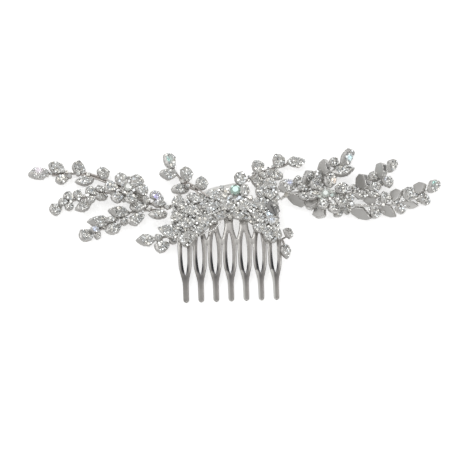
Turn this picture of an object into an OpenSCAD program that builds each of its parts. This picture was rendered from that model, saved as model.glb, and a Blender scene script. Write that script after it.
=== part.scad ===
// Bridal hair comb with crystal leaf sprays, lying on a table with its teeth towards -Y.
// X runs along the comb to the right, Y away from the teeth, Z up from the table top.
// The origin is on the table, in the middle of the outline.

/* [Comb] */
// Number of split teeth
tooth_count = 7; // [5:2:7]
// Distance between neighbouring teeth
tooth_pitch = 5.93; // [5.6:0.01:6.4]
// Length from the tooth tips to the spine
comb_length = 42; // [41:0.5:44]
// Thickness of the stamped sheet
comb_sheet = 1.0; // [0.8:0.1:1.2]
// Width of the solid lower bar of a tooth
bar_width = 2.3; // [1.8:0.1:2.4]
// Width of a slot at its widest
slot_width = 2.0; // [1.6:0.1:2.2]
// Radius of the sheet's curve from tips to spine
comb_curve = 110; // [100:5:140]
// Turn of the comb on the table, in degrees
comb_turn = 2; // [0:0.5:3]

/* [Sprays] */
// Diameter of the stem wire
wire_d = 1.0; // [0.8:0.1:1.2]
// Diameter of the short wires that hold the leaves
twig_d = 0.7; // [0.6:0.1:0.9]
// Thickness of a leaf cup from back to front
cup_depth = 1.5; // [1.2:0.1:1.8]
// Height of a cut stone above its cup
stone_rise = 1.1; // [0.8:0.1:1.3]
// Gap between a stone and its cup
stone_gap = 0.12; // [0.1:0.01:0.2]

/* [Hidden] */

metal = [0.72, 0.72, 0.71];
crystal = [0.86, 0.88, 0.9];

// Leaf, stem and stone places are given as an eye sees them that looks along +Y and down at eye_rise
// degrees: across to the right, up in the picture, and the height above the table, all in mm.
eye_rise = 70;
layout_shift = 0.42;
function laid(across, up, height) =
    [across, (up - height * cos(eye_rise)) / sin(eye_rise) + layout_shift, height];

// Turns of a point about the Z and Y axes
function turn_z(p, a) = [p.x * cos(a) - p.y * sin(a), p.x * sin(a) + p.y * cos(a), p.z];
function turn_y(p, a) = [p.x * cos(a) + p.z * sin(a), p.y, p.z * cos(a) - p.x * sin(a)];

// Columns of a leaf row: place of its middle as seen, clearance under it, heading of its tip in the
// picture, angle that its front leans from straight up, direction that the front leans to, length,
// width, and kind
ACROSS = 0;
UP = 1;
CLEAR = 2;
HEADING = 3;
LEAN = 4;
LEAN_TO = 5;
LENGTH = 6;
WIDTH = 7;
KIND = 8;
MARQUISE = 0;
PEAR = 1;
ROUND = 2;

// Half outline angle steps: a full turn of a leaf's edge has this many points
cup_points = 16;
stone_points = 8;
// A pear's outline swells with the sine of half the turn on top of a fixed share. The formula peaks at
// pear_peak, so it is divided out.
pear_share = 0.45;
pear_peak = 0.858;

// Edge of a leaf: it runs from the base to the tip, and its width swells by the sine. A marquise
// narrows to a point at both ends, a pear only at its base, and a round one is an ellipse.
function leaf_edge(length, width, kind, points) = [for (i = [0:points - 1])
    let (t = 360 * i / points)
    [-length / 2 * cos(t), width / 2 * sin(t) * (
        kind == MARQUISE ? pow(abs(sin(t)), 0.6) :
        kind == PEAR ? (pear_share + (1 - pear_share) * sin(t / 2)) / pear_peak : 1)]];

// A leaf's own point, turned and set in its place
function turned(row, p) =
    turn_z(turn_y(turn_z(p, row[HEADING] - row[LEAN_TO]), row[LEAN]), row[LEAN_TO]);

// Radius of the ball that a cup's back is cut from
function back_ball(length) = (pow(length / 2, 2) + pow(cup_depth, 2)) / (2 * cup_depth) * 1.4;

// Depth of a leaf below its middle: the lowest point of its rim, its domed back and its stone
function leaf_drop(row) = let (ball = back_ball(row[LENGTH]))
    -min([for (p = leaf_edge(row[LENGTH], row[WIDTH], row[KIND], cup_points))
        min([turned(row, [p.x, p.y, 0]).z,
            turned(row, [p.x * 0.5, p.y * 0.5, stone_rise]).z,
            for (k = [0:0.2:1])
                turned(row, [p.x * k, p.y * k, k * k * (p * p) / (2 * ball) - cup_depth]).z])]);
function leaf_middle(row) = laid(row[ACROSS], row[UP], row[CLEAR] + leaf_drop(row));
function leaf_point(row, p) = leaf_middle(row) + turned(row, p);

module place_leaf(row) {
    translate(leaf_middle(row))
        rotate([0, 0, row[LEAN_TO]])
            rotate([0, row[LEAN], 0])
                rotate([0, 0, row[HEADING] - row[LEAN_TO]])
                    children();
}

// Leaf cup: a flat front and a domed back, cut from a ball
module leaf_cup(length, width, kind) {
    ball = back_ball(length);
    intersection() {
        translate([0, 0, -cup_depth])
            linear_extrude(cup_depth)
                polygon(leaf_edge(length, width, kind, cup_points));
        translate([0, 0, ball - cup_depth])
            sphere(r = ball, $fn = 48);
    }
}

// Cut stone of a leaf: a flat table, eight crown facets and eight facets below the girdle. It leaves
// room for the wire at the leaf's base.
module leaf_stone(length, width, kind, share) {
    girdle = 0.35;
    edge = [for (p = leaf_edge(length - 1.1, width - 0.6, kind, stone_points)) share * p + [0.3, 0]];
    rings = [for (level = [[0.8, stone_gap], [1, girdle], [0.55, stone_rise]])
        [for (p = edge) [p.x * level[0], p.y * level[0], level[1]]]];
    ring_stack(rings);
}

// Solid through rings of equal counts, with flat ends. Each ring turns clockwise as seen from the
// last one.
module ring_stack(rings) {
    n = len(rings[0]);
    points = [for (ring = rings) for (p = ring) p];
    sides = [for (k = [0:len(rings) - 2]) for (i = [0:n - 1]) let (j = (i + 1) % n)
        [k * n + i, k * n + j, (k + 1) * n + j, (k + 1) * n + i]];
    first = [[for (i = [n - 1:-1:0]) i]];
    last = [[for (i = [0:n - 1]) (len(rings) - 1) * n + i]];
    polyhedron(points, concat(first, sides, last));
}

// Smooth curve through the points of a route, by the Catmull-Rom formula, steps points a stretch
steps = 3;
function blend(a, b, c, d, t) = 0.5 * (2 * b + (c - a) * t + (2 * a - 5 * b + 4 * c - d) * t * t
    + (3 * b - a - 3 * c + d) * t * t * t);
function smooth(route) = let (last = len(route) - 1)
    concat([for (k = [0:last - 1]) for (i = [0:steps - 1])
        blend(route[max(k - 1, 0)], route[k], route[k + 1], route[min(k + 2, last)], i / steps)],
        [route[last]]);
function laid_all(rows) = [for (p = rows) laid(p[0], p[1], p[2])];

// Wire of six sides along a smooth route that never stands upright
wire_sides = 6;
function unit(v) = v / norm(v);
module wire(route, d) {
    last = len(route) - 1;
    rings = [for (k = [0:last])
        let (ahead = unit(route[min(k + 1, last)] - route[max(k - 1, 0)]),
            side = unit(cross(ahead, [0, 0, 1])),
            over = cross(side, ahead))
        [for (i = [0:wire_sides - 1]) let (a = 360 * (i + 0.5) / wire_sides)
            route[k] + d / 2 * (side * cos(a) + over * sin(a))]];
    ring_stack(rings);
}

// Straight rod between two points
module rod(a, b, d) {
    run = b - a;
    translate(a)
        rotate([0, acos(run.z / norm(run)), atan2(run.y, run.x)])
            cylinder(d = d, h = norm(run), $fn = 24);
}

// The point of a route that is nearest to p
function nearest(route, p) = let (gaps = [for (q = route) norm(q - p)], low = min(gaps))
    route[[for (i = [0:len(route) - 1]) if (gaps[i] == low) i][0]];

// Point inside a cup, near its base, where a stem ends
function foot_of(row) = leaf_point(row, [-0.34 * row[LENGTH], 0, -0.45 * cup_depth]);

// Points inside a cup's wall, where a twig can end
function wall_of(row) = [for (p = leaf_edge(row[LENGTH], row[WIDTH], row[KIND], cup_points))
    leaf_point(row, [0.85 * p.x, 0.85 * p.y, -0.3 * cup_depth])];

// Both ends of a leaf's twig: the shortest way from the cup's wall to the stem
function twig_ends(row, route) =
    let (wall = wall_of(row), gaps = [for (p = wall) norm(p - nearest(route, p))], low = min(gaps),
        start = wall[[for (i = [0:len(wall) - 1]) if (gaps[i] == low) i][0]])
    [start, nearest(route, start)];

// Route of a spray's stem. It ends in the foot of the leaf at its tip, unless tip is below 0.
function stem_route(stem, rows, tip) =
    smooth(concat(laid_all(stem), tip < 0 ? [] : [foot_of(rows[tip])]));

// Leaf cups with the twigs that hold them to the stem
module leaf_cups(rows, route, tip) {
    for (i = [0:len(rows) - 1]) {
        place_leaf(rows[i])
            leaf_cup(rows[i][LENGTH], rows[i][WIDTH], rows[i][KIND]);
        if (i != tip) {
            ends = twig_ends(rows[i], route);
            rod(ends[0], ends[1], twig_d);
        }
    }
}

module leaf_stones(rows) {
    for (row = rows)
        place_leaf(row)
            leaf_stone(row[LENGTH], row[WIDTH], row[KIND], row[LEAN] > 90 ? 0.7 : 1);
}

// Columns of a bead row: share of the way along the stem, distance to the left of it, diameter
STATION = 0;
ASIDE = 1;
BEAD_D = 2;
bead_cup = 1.1;
function bead_foot(bead, route) =
    let (last = len(route) - 1, k = round(bead[STATION] * last),
        ahead = unit(route[min(k + 1, last)] - route[max(k - 1, 0)]),
        left = unit(cross([0, 0, 1], ahead)))
    route[k] + left * bead[ASIDE];

module bead_cups(beads, route) {
    for (bead = beads)
        translate(bead_foot(bead, route))
            cylinder(d = bead[BEAD_D], h = bead_cup, $fn = 24);
}

module round_stone(d, rise, points) {
    rings = [for (level = [[0.75, stone_gap], [1, 0.35 * rise], [0.55, rise]])
        [for (i = [0:points - 1]) let (a = -360 * i / points)
            [d / 2 * level[0] * cos(a), d / 2 * level[0] * sin(a), level[1]]]];
    ring_stack(rings);
}

module bead_stones(beads, route) {
    for (bead = beads)
        translate(bead_foot(bead, route) + [0, 0, bead_cup])
            round_stone(bead[BEAD_D] - 0.1, 0.5 * bead[BEAD_D], stone_points);
}

// A spray's metal: stem, twigs, leaf cups and bead cups in one soldered piece
module spray_metal(stem, rows, beads, tip) {
    route = stem_route(stem, rows, tip);
    color(metal) {
        wire(route, wire_d);
        leaf_cups(rows, route, tip);
        bead_cups(beads, route);
    }
}

module spray_stones(stem, rows, beads, tip) {
    color(crystal) {
        leaf_stones(rows);
        bead_stones(beads, stem_route(stem, rows, tip));
    }
}

// Stems: points as seen with their height. Each starts where the spray joins the rest, and goes on
// into the foot of its tip leaf.
upper_left_stem = [[-42.8, 14.4, 3.4], [-48.3, 16.6, 3.0], [-53.5, 18.8, 2.4], [-60.3, 20.8, 1.8],
    [-65.7, 20.9, 1.4], [-71.1, 20.6, 1.1]];
upper_left_leaves = [
    [-78.0, 21.1, 0.1, 190, 8, 0, 8.6, 4.8, MARQUISE],
    [-70.8, 23.2, 0.5, 152, 14, 200, 7.2, 4.6, PEAR],
    [-68.6, 18.8, 0.4, 208, 16, 20, 5.4, 4.0, PEAR],
    [-61.8, 23.2, 0.9, 132, 18, 0, 6.0, 4.8, PEAR],
    [-59.5, 18.2, 0.7, 190, 12, 90, 7.6, 4.0, MARQUISE],
    [-52.0, 20.9, 1.4, 114, 16, 0, 5.6, 4.8, PEAR],
    [-41.7, 17.8, 2.3, 92, 8, 0, 4.2, 3.4, PEAR]];
upper_left_beads = [[0.45, 0, 1.6], [0.56, 0.5, 1.8], [0.67, 1.3, 2.0]];

middle_left_stem = [[-43.1, 13.0, 3.4], [-48.7, 13.3, 3.0], [-54.3, 12.6, 2.4], [-59.9, 11.2, 1.7],
    [-65.1, 9.8, 0.9]];
middle_left_leaves = [
    [-70.7, 6.8, 0.1, 228, 24, 20, 5.8, 4.8, PEAR],
    [-65.8, 11.8, 0.6, 142, 14, 0, 4.4, 3.8, PEAR],
    [-65.4, 7.8, 0.4, 222, 16, 30, 3.8, 2.8, PEAR],
    [-62.0, 12.4, 0.9, 130, 14, 0, 4.4, 3.6, PEAR],
    [-59.8, 8.1, 0.9, 215, 18, 60, 7.8, 4.0, MARQUISE],
    [-56.9, 13.9, 1.4, 146, 12, 0, 4.6, 3.6, PEAR],
    [-53.0, 14.8, 1.8, 178, 12, 0, 4.2, 2.8, PEAR],
    [-52.6, 11.8, 1.5, 190, 14, 60, 5.2, 2.8, PEAR],
    [-67.9, 9.6, 1.2, 176, 12, 0, 4.0, 2.6, PEAR],
    [-56.8, 10.6, 2.8, 196, 8, 0, 4.0, 2.8, PEAR]];
middle_left_beads = [[0.5, 0, 1.8], [0.67, 0.5, 1.6], [0.8, 0.4, 1.6]];

lower_left_stem = [[-30.4, 6.4, 3.4], [-35.5, 6.2, 3.0], [-39.5, 5.6, 2.4], [-45.3, 3.4, 1.6],
    [-52.0, -0.8, 0.8]];
lower_left_leaves = [
    [-58.4, -3.5, 0.1, 214, 26, 30, 6.8, 5.0, PEAR],
    [-53.4, 1.8, 0.5, 186, 14, 0, 9.4, 4.6, MARQUISE],
    [-47.6, -0.8, 0.8, 214, 24, 30, 7.6, 4.2, PEAR],
    [-45.6, 5.6, 1.4, 178, 14, 0, 8.8, 4.4, MARQUISE],
    [-38.8, 2.8, 1.6, 213, 22, 30, 7.8, 4.2, PEAR],
    [-43.1, 2.0, 1.0, 205, 18, 30, 4.2, 2.8, PEAR],
    [-55.0, -1.4, 1.4, 160, 10, 0, 3.4, 2.8, PEAR],
    [-54.0, -3.6, 0.2, 262, 10, 0, 3.2, 2.6, PEAR],
    [-48.8, 2.6, 2.0, 196, 8, 0, 4.2, 2.6, PEAR]];
lower_left_beads = [[0.13, 0, 1.6]];

// The left flower's petals stand above the stems that meet under it
left_flower_hub = [-42.0, 15.0, 5.8];
left_flower_petals = [
    [-44.8, 18.6, 5.3, 106, 12, 300, 5.0, 5.0, PEAR],
    [-38.6, 17.9, 5.3, 46, 14, 0, 5.4, 5.0, PEAR],
    [-36.4, 14.4, 5.2, 345, 14, 0, 5.0, 4.4, PEAR],
    [-40.9, 11.1, 5.0, 282, 26, 60, 5.2, 5.0, PEAR],
    [-46.3, 11.4, 5.0, 228, 26, 45, 5.2, 4.8, PEAR],
    [-48.8, 15.8, 5.3, 172, 10, 0, 5.2, 4.4, PEAR]];

left_branch_stem = [[-25.0, 7.2, 4.6], [-27.5, 7.3, 4.2], [-33, 8.6, 3.8], [-38, 10.6, 3.5],
    [-41.8, 13.4, 3.4]];
left_branch_leaves = [
    [-37.8, 7.9, 3.0, 186, 14, 80, 7.4, 3.8, PEAR],
    [-30.6, 11.9, 3.2, 158, 14, 340, 5.8, 3.6, PEAR],
    [-29.7, 9.0, 3.6, 178, 10, 0, 5.2, 3.2, PEAR],
    [-30.0, 4.8, 3.6, 186, 16, 60, 7.6, 3.8, MARQUISE],
    [-34.7, 10.5, 4.6, 150, 10, 0, 3.6, 2.6, PEAR],
    [-38.2, 12.9, 0.1, 315, 8, 0, 4.8, 3.8, PEAR],
    [-43.8, 12.0, 0.1, 268, 8, 0, 4.6, 4.0, PEAR]];
left_branch_beads = [[0.17, 0, 1.8]];

comb_left_stem = [[-25.0, -3.8, 3.4], [-27.5, -4.4, 2.2], [-30.6, -5.0, 1.0]];
comb_left_leaves = [
    [-24.0, -5.8, 0.5, 200, 14, 30, 3.2, 2.2, PEAR],
    [-34.8, -5.5, 0.1, 186, 10, 0, 7.8, 4.4, MARQUISE],
    [-28.4, -8.0, 0.8, 213, 22, 40, 6.6, 4.8, PEAR],
    [-29.8, -4.5, 2.0, 190, 8, 0, 3.4, 2.4, PEAR]];

upper_stem = [[-14.2, 14.2, 4.5], [-16.9, 15.2, 4.1], [-20.3, 17.6, 3.2], [-22.5, 20.4, 2.4]];
upper_leaves = [
    [-25.5, 26.0, 0.8, 108, 14, 20, 7.0, 4.8, PEAR],
    [-26.1, 20.8, 1.6, 183, 12, 0, 7.4, 4.3, MARQUISE],
    [-18.9, 20.5, 2.4, 100, 16, 270, 6.2, 5.0, PEAR],
    [-21.4, 14.7, 1.6, 183, 12, 0, 7.4, 4.0, MARQUISE],
    [-12.7, 16.9, 3.6, 97, 14, 0, 5.6, 4.8, PEAR]];
upper_beads = [[0.5, 0.2, 1.8], [0.17, -0.6, 2.0], [0.33, 0.4, 1.8]];

upper_right_stem = [[3.9, 17.3, 4.5], [8.5, 20.3, 3.7], [14.5, 22.7, 2.6], [19.9, 24.0, 1.7]];
upper_right_leaves = [
    [2.6, 18.9, 5.0, 76, 34, 340, 5.4, 5.0, PEAR],
    [9.7, 23.5, 1.8, 80, 26, 350, 5.8, 5.0, PEAR],
    [18.0, 25.9, 1.2, 76, 26, 350, 6.0, 5.0, PEAR],
    [24.9, 25.6, 0.8, 4, 20, 300, 7.6, 4.2, MARQUISE],
    [16.2, 20.6, 2.2, 350, 14, 0, 7.6, 4.2, MARQUISE],
    [9.7, 17.6, 2.6, 338, 14, 0, 6.4, 4.0, MARQUISE],
    [11.6, 20.3, 3.6, 345, 12, 0, 4.0, 2.4, MARQUISE]];

comb_right_stem = [[18.9, -5.3, 5.0], [19.6, -6.6, 4.6]];
comb_right_leaves = [
    [21.6, -2.6, 3.6, 18, 55, 20, 5.6, 4.2, PEAR],
    [20.6, -9.9, 3.0, 278, 24, 0, 6.0, 4.0, MARQUISE]];

// The centre's leaves stand on the backing plate, which spans the comb's spine
plate_low = 4.5;
plate_depth = 0.8;
plate_edge = [[-23.6, -4.6], [-26.2, -3.2], [-26.4, -0.6], [-24.4, 3], [-24, 9.6], [-19.6, 11.2],
    [-15.6, 12.2], [-10.5, 14.4], [-4.4, 16.2], [0.2, 17.0], [3.2, 16.2], [4.0, 12.0], [8.8, 11.2],
    [9.8, 14.6], [13.4, 17.6], [17.4, 15.2], [18.0, 13.0], [17.4, 10.6], [17.8, 5], [17.9, -1],
    [17.8, -5.0], [14.8, -6.6], [11.4, -3.2], [7.5, 0.4], [3.5, 2.8], [-3, 3.2], [-7.2, 1.6],
    [-12.5, -2.6], [-16, -6.0], [-19, -8.4], [-21.6, -6]];

post_d = 1.1;
centre_leaves = [
    [-21.9, 9.6, 5.5, 124, 10, 0, 5.2, 5.0, PEAR],
    [-22.4, 3.6, 5.5, 188, 14, 0, 4.8, 4.2, PEAR],
    [-25.8, -1.9, 5.5, 166, 14, 0, 8.2, 4.2, MARQUISE],
    [-15.2, 11.2, 5.6, 168, 12, 0, 7.2, 4.2, MARQUISE],
    [-8.0, 12.4, 5.6, 172, 10, 0, 6.8, 4.2, MARQUISE],
    [-17.0, 6.4, 5.6, 192, 12, 0, 7.0, 4.2, MARQUISE],
    [-9.4, 7.6, 5.6, 186, 12, 0, 7.0, 4.2, MARQUISE],
    [-2.4, 8.0, 5.6, 180, 10, 0, 6.4, 4.0, MARQUISE],
    [-18.2, 1.2, 5.6, 205, 14, 0, 6.6, 4.2, MARQUISE],
    [-11.2, 2.8, 5.6, 205, 12, 0, 6.8, 4.0, MARQUISE],
    [-19.2, -4.4, 5.6, 238, 14, 0, 5.6, 4.0, PEAR],
    [4.6, 14.4, 5.6, 300, 50, 350, 5.0, 4.0, PEAR],
    [4.4, 7.8, 5.6, 8, 10, 0, 6.4, 4.0, MARQUISE],
    [11.2, 8.4, 5.6, 345, 12, 0, 6.8, 4.0, MARQUISE],
    [9.6, 3.4, 5.6, 325, 12, 0, 6.2, 3.8, MARQUISE],
    [14.2, 12.7, 5.6, 350, 14, 0, 5.4, 3.6, MARQUISE],
    [14.6, 16.9, 5.6, 45, 14, 0, 4.8, 4.8, ROUND],
    [16.6, 7.2, 5.6, 285, 95, 30, 5.0, 4.4, PEAR],
    [15.0, 2.8, 5.6, 312, 16, 0, 6.2, 4.4, PEAR],
    [13.6, -3.0, 5.6, 290, 14, 0, 5.6, 3.8, PEAR],
    [17.2, -2.6, 5.6, 285, 14, 0, 5.4, 3.4, MARQUISE],
    [10.3, 13.7, 5.6, 96, 10, 0, 4.8, 3.4, PEAR],
    [-4.8, 4.3, 5.6, 192, 12, 0, 5.4, 3.2, MARQUISE],
    [1.8, 4.3, 5.6, 352, 12, 0, 5.6, 3.2, MARQUISE],
    [-13.6, -1.2, 5.6, 222, 12, 0, 5.0, 3.2, PEAR],
    [9.7, -0.7, 5.6, 322, 12, 0, 4.8, 3.2, PEAR]];
// Round cups on the plate: place as seen and diameter
centre_beads = [[-3.4, 12.0, 2.2], [-4.8, 15.0, 1.8], [-1.2, 11.2, 1.8],
    [2.2, 10.8, 1.8], [-16.0, -4.6, 1.8], [-7.5, 1.8, 1.7], [-1.5, 3.4, 1.8], [6.6, 11.0, 1.8],
    [17.4, 11.0, 1.8]];

right_branch_stem = [[18.6, 10.6, 4.5], [22.5, 12.8, 3.9], [29.7, 13.6, 3.0], [33.4, 15.6, 2.4],
    [36.4, 18.8, 1.5], [40.2, 22.6, 1.0]];
right_branch_leaves = [
    [21.5, 16.1, 3.2, 20, 42, 350, 10.2, 5.0, MARQUISE],
    [25.1, 10.6, 0.8, 333, 140, 60, 8.6, 4.2, MARQUISE],
    [30.1, 19.2, 1.4, 32, 62, 345, 9.8, 5.2, MARQUISE],
    [36.5, 22.8, 2.0, 68, 125, 5, 7.0, 5.8, PEAR],
    [40.1, 25.5, 1.8, 0, 30, 0, 4.1, 4.1, ROUND],
    [45.5, 27.3, 0.4, 44, 62, 335, 9.2, 5.8, MARQUISE],
    [43.4, 22.2, 1.9, 13, 20, 90, 9.4, 4.5, MARQUISE],
    [27.4, 15.2, 3.6, 12, 14, 0, 4.6, 2.8, PEAR],
    [33.5, 20.4, 3.8, 55, 24, 0, 4.2, 3.0, PEAR],
    [27.8, 12.0, 4.1, 355, 12, 0, 4.4, 3.0, PEAR],
    [34.0, 11.8, 0.1, 275, 8, 0, 4.6, 4.2, PEAR],
    [25.6, 17.9, 0.1, 30, 8, 0, 4.4, 4.2, PEAR]];
right_branch_beads = [[0.11, 0, 1.8]];

right_flower_hub = [36.4, 12.4, 5.8];
right_flower_petals = [
    [38.3, 18.1, 5.2, 68, 16, 0, 6.0, 5.0, PEAR],
    [42.9, 15.0, 5.0, 22, 18, 340, 5.6, 4.4, PEAR],
    [42.4, 10.0, 5.0, 336, 20, 30, 5.2, 4.0, PEAR],
    [39.4, 7.4, 4.7, 297, 28, 60, 5.4, 4.2, PEAR],
    [34.4, 5.5, 2.6, 258, 150, 348, 5.8, 5.2, PEAR],
    [31.2, 8.4, 3.2, 222, 145, 305, 5.6, 4.6, PEAR],
    [32.8, 16.4, 5.2, 135, 16, 0, 5.4, 4.4, PEAR],
    [31.6, 12.3, 5.4, 183, 10, 0, 5.0, 3.8, PEAR],
    [35.4, 8.8, 5.6, 252, 12, 0, 4.6, 4.2, PEAR]];

right_middle_stem = [[43.8, 12.6, 3.4], [47.7, 13.4, 2.6], [51.5, 14.8, 1.7], [55.5, 17.2, 1.2],
    [58.9, 19.2, 1.1]];
right_middle_leaves = [
    [51.8, 17.5, 2.2, 55, 122, 10, 8.0, 5.6, PEAR],
    [56.2, 15.6, 2.8, 20, 18, 0, 6.0, 4.0, MARQUISE],
    [59.2, 22.0, 2.0, 58, 122, 0, 7.0, 5.6, PEAR],
    [63.4, 24.1, 0.6, 52, 48, 340, 6.6, 4.4, MARQUISE],
    [61.3, 17.8, 2.2, 335, 18, 0, 5.0, 4.2, PEAR],
    [50.9, 12.2, 2.7, 0, 12, 0, 5.4, 3.0, MARQUISE],
    [55.7, 12.6, 2.8, 350, 12, 0, 5.0, 2.6, PEAR],
    [55.6, 19.8, 2.4, 50, 40, 0, 4.8, 3.4, PEAR],
    [45.8, 11.4, 3.0, 5, 14, 0, 4.8, 3.0, PEAR],
    [40.8, 12.4, 0.1, 180, 8, 0, 4.8, 4.4, PEAR]];
right_middle_beads = [[0.2, 0, 1.8]];

right_lower_stem = [[42.8, 9.6, 3.4], [47.0, 8.4, 3.4], [52, 8.0, 3.2], [57.3, 7.9, 3.0], [63.3, 8.4, 2.8],
    [68.5, 9.8, 2.5], [74.0, 12.4, 1.9]];
right_lower_leaves = [
    [50.7, 5.1, 0.2, 327, 142, 60, 8.6, 4.4, MARQUISE],
    [54.4, 10.0, 0.1, 0, 162, 90, 4.8, 3.6, PEAR],
    [56.2, 5.5, 0.8, 300, 20, 0, 5.0, 4.2, PEAR],
    [61.2, 6.3, 0.2, 337, 142, 60, 7.8, 4.2, MARQUISE],
    [60.3, 11.2, 2.0, 60, 20, 0, 5.0, 4.4, PEAR],
    [64.9, 11.9, 0.6, 80, 145, 350, 5.6, 4.8, PEAR],
    [69.5, 13.0, 1.2, 60, 26, 0, 6.0, 4.6, PEAR],
    [74.4, 14.8, 0.4, 76, 145, 350, 5.4, 5.0, PEAR],
    [75.8, 10.8, 0.8, 335, 20, 0, 5.4, 4.2, PEAR],
    [79.9, 15.8, 0.2, 42, 45, 335, 7.2, 4.6, MARQUISE],
    [70.2, 8.6, 0.2, 5, 145, 90, 5.8, 3.2, MARQUISE],
    [66.2, 6.6, 0.5, 345, 16, 0, 4.6, 3.0, MARQUISE],
    [44.7, 6.8, 1.4, 345, 16, 0, 4.6, 3.8, PEAR],
    [41.3, 5.8, 0.1, 300, 10, 0, 4.8, 4.0, PEAR]];
right_lower_beads = [[0.14, 0, 1.8], [0.48, 0, 1.6], [0.62, 0.3, 1.8]];

// Comb, in its own frame: X across the teeth, Y from the tips to the spine
junction = 10.9;
slot_end = 27.8;
merge = 22.6;
petal_low = 25.2;
petal_high = 34.6;
// The gaps' outline formula peaks at this value, so it is divided out
gap_peak = 0.77;
bend = 6.5;
full = 15.5;
edge_points = 12;
function ease(t) = let (s = min(max(t, 0), 1)) s * s * (3 - 2 * s);
function tooth_half(y) = bar_width / 2 + (0.255 * tooth_pitch) * ease((y - bend) / (full - bend))
    + 0.15 * ease((y - full) / (merge - full));
comb_half = (tooth_count - 1) / 2 * tooth_pitch + tooth_half(merge);
function tooth_x(i) = (i - (tooth_count - 1) / 2) * tooth_pitch;

// Outline of one tooth: down its left side, round its tip and up its right side
tip_steps = 8;
function tooth_side(side, order) = [for (k = order)
    let (y = bar_width / 2 + (merge - bar_width / 2) * k / edge_points)
    [side * tooth_half(y), y]];
tooth_tip = [for (k = [1:tip_steps - 1]) let (a = 180 + 180 * k / tip_steps)
    bar_width / 2 * [cos(a), 1 + sin(a)]];
tooth_outline = concat(tooth_side(-1, [edge_points:-1:0]), tooth_tip, tooth_side(1, [0:edge_points]));

// Outline of the whole sheet: the teeth from left to right, then the spine, which narrows on each side
// by spine_draw up to its rounded corners
corner_r = 4;
spine_draw = 1.6;
function spine_corner(side, from) = [for (a = [from:15:from + 90])
    [side * (comb_half - spine_draw - corner_r) + corner_r * cos(a),
        comb_length + corner_r * (sin(a) - 1)]];
comb_outline = concat([for (i = [0:tooth_count - 1]) for (p = tooth_outline) [tooth_x(i) + p.x, p.y]],
    spine_corner(1, 0), spine_corner(-1, 90));

// Slot between a tooth's two legs, pointed at both ends
module slot() {
    n = 10;
    long = slot_end - junction;
    polygon([for (i = [0:2 * n - 1]) let (t = 180 * i / n)
        [slot_width / 2 * sin(t) * pow(abs(sin(t)), 0.4), junction + long / 2 * (1 - cos(t))]]);
}

// Gap between two teeth in the upper half: pointed below and round above
module petal_gap() {
    n = 8;
    long = petal_high - petal_low;
    polygon([for (i = [0:2 * n - 1]) let (t = 180 * i / n)
        [1.25 * sin(t) * sin(t / 2) / gap_peak, petal_low + long / 2 * (1 - cos(t))]]);
}

module comb_plan() {
    difference() {
        polygon(comb_outline);
        for (i = [0:tooth_count - 1])
            translate([tooth_x(i), 0])
                slot();
        for (i = [0:tooth_count - 2])
            translate([tooth_x(i + 0.5), 0])
                petal_gap();
    }
}

// The sheet is curved about a line across the teeth, so it arches from the tips to the spine
tip_slope = 14.2;
module comb() {
    centre = [0, comb_curve * sin(tip_slope), comb_sheet / 2 - comb_curve * cos(tip_slope)];
    color(metal)
        translate(laid(-0.95, -29.9, 0))
            rotate([0, 0, comb_turn])
                intersection() {
                    linear_extrude(8)
                        comb_plan();
                    translate(centre)
                        rotate([0, 90, 0])
                            difference() {
                                cylinder(r = comb_curve + comb_sheet / 2, h = 60, center = true,
                                    $fn = 200);
                                cylinder(r = comb_curve - comb_sheet / 2, h = 61, center = true,
                                    $fn = 200);
                            }
                }
}

// Plate on the spine that carries the centre's leaves and cups, all soldered to it
function on_plate(across, up) = laid(across, up, plate_low + plate_depth);
plate_route = smooth([for (p = concat(plate_edge, [plate_edge[0]])) on_plate(p[0], p[1])]);
module centre_spray() {
    color(metal) {
        translate([0, 0, plate_low])
            linear_extrude(plate_depth)
                polygon([for (i = [0:len(plate_route) - 2]) [plate_route[i].x, plate_route[i].y]]);
        for (row = centre_leaves) {
            top = leaf_point(row, [0, 0, -0.5 * cup_depth]);
            place_leaf(row)
                leaf_cup(row[LENGTH], row[WIDTH], row[KIND]);
            translate([top.x, top.y, plate_low + 0.3])
                cylinder(d = post_d, h = top.z - plate_low - 0.3, $fn = 24);
        }
        for (bead = centre_beads)
            translate(on_plate(bead[0], bead[1]) - [0, 0, 0.4])
                cylinder(d = bead[2], h = bead_cup + 0.4, $fn = 24);
        translate(on_plate(main_place[0], main_place[1]) - [0, 0, 0.4])
            cylinder(d = main_d, h = main_rise + 0.4, $fn = 48);
    }
}

module centre_stones() {
    color(crystal) {
        leaf_stones(centre_leaves);
        for (bead = centre_beads)
            translate(on_plate(bead[0], bead[1]) + [0, 0, bead_cup])
                round_stone(bead[2] - 0.1, 0.5 * bead[2], stone_points);
    }
}

// Largest stone, in a tall round cup on the plate
main_place = [0.6, 13.7];
main_d = 4.6;
main_rise = 1.4;
main_stone_points = 12;
module centre_stone() {
    color(crystal)
        translate(on_plate(main_place[0], main_place[1]) + [0, 0, main_rise])
            round_stone(main_d - 0.1, 2.0, main_stone_points);
}

// Flower: petals on short rods from a round hub, which stands on a post
hub_d = 3.6;
hub_above = 1.2;
hub_below = 0.7;
hub_post_d = 1.6;
module flower_metal(hub, petals, post_low) {
    middle = laid(hub[0], hub[1], hub[2]);
    color(metal) {
        translate(middle - [0, 0, hub_below])
            cylinder(d = hub_d, h = hub_above + hub_below, $fn = 32);
        translate([middle.x, middle.y, post_low])
            cylinder(d = hub_post_d, h = middle.z - post_low, $fn = 24);
        for (row = petals) {
            foot = leaf_point(row, [-0.25 * row[LENGTH], 0, -0.55 * cup_depth]);
            away = unit([foot.x - middle.x, foot.y - middle.y, 0]);
            place_leaf(row)
                leaf_cup(row[LENGTH], row[WIDTH], row[KIND]);
            rod(foot, middle + 1.2 * away - [0, 0, 0.3], twig_d);
        }
    }
}

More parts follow.
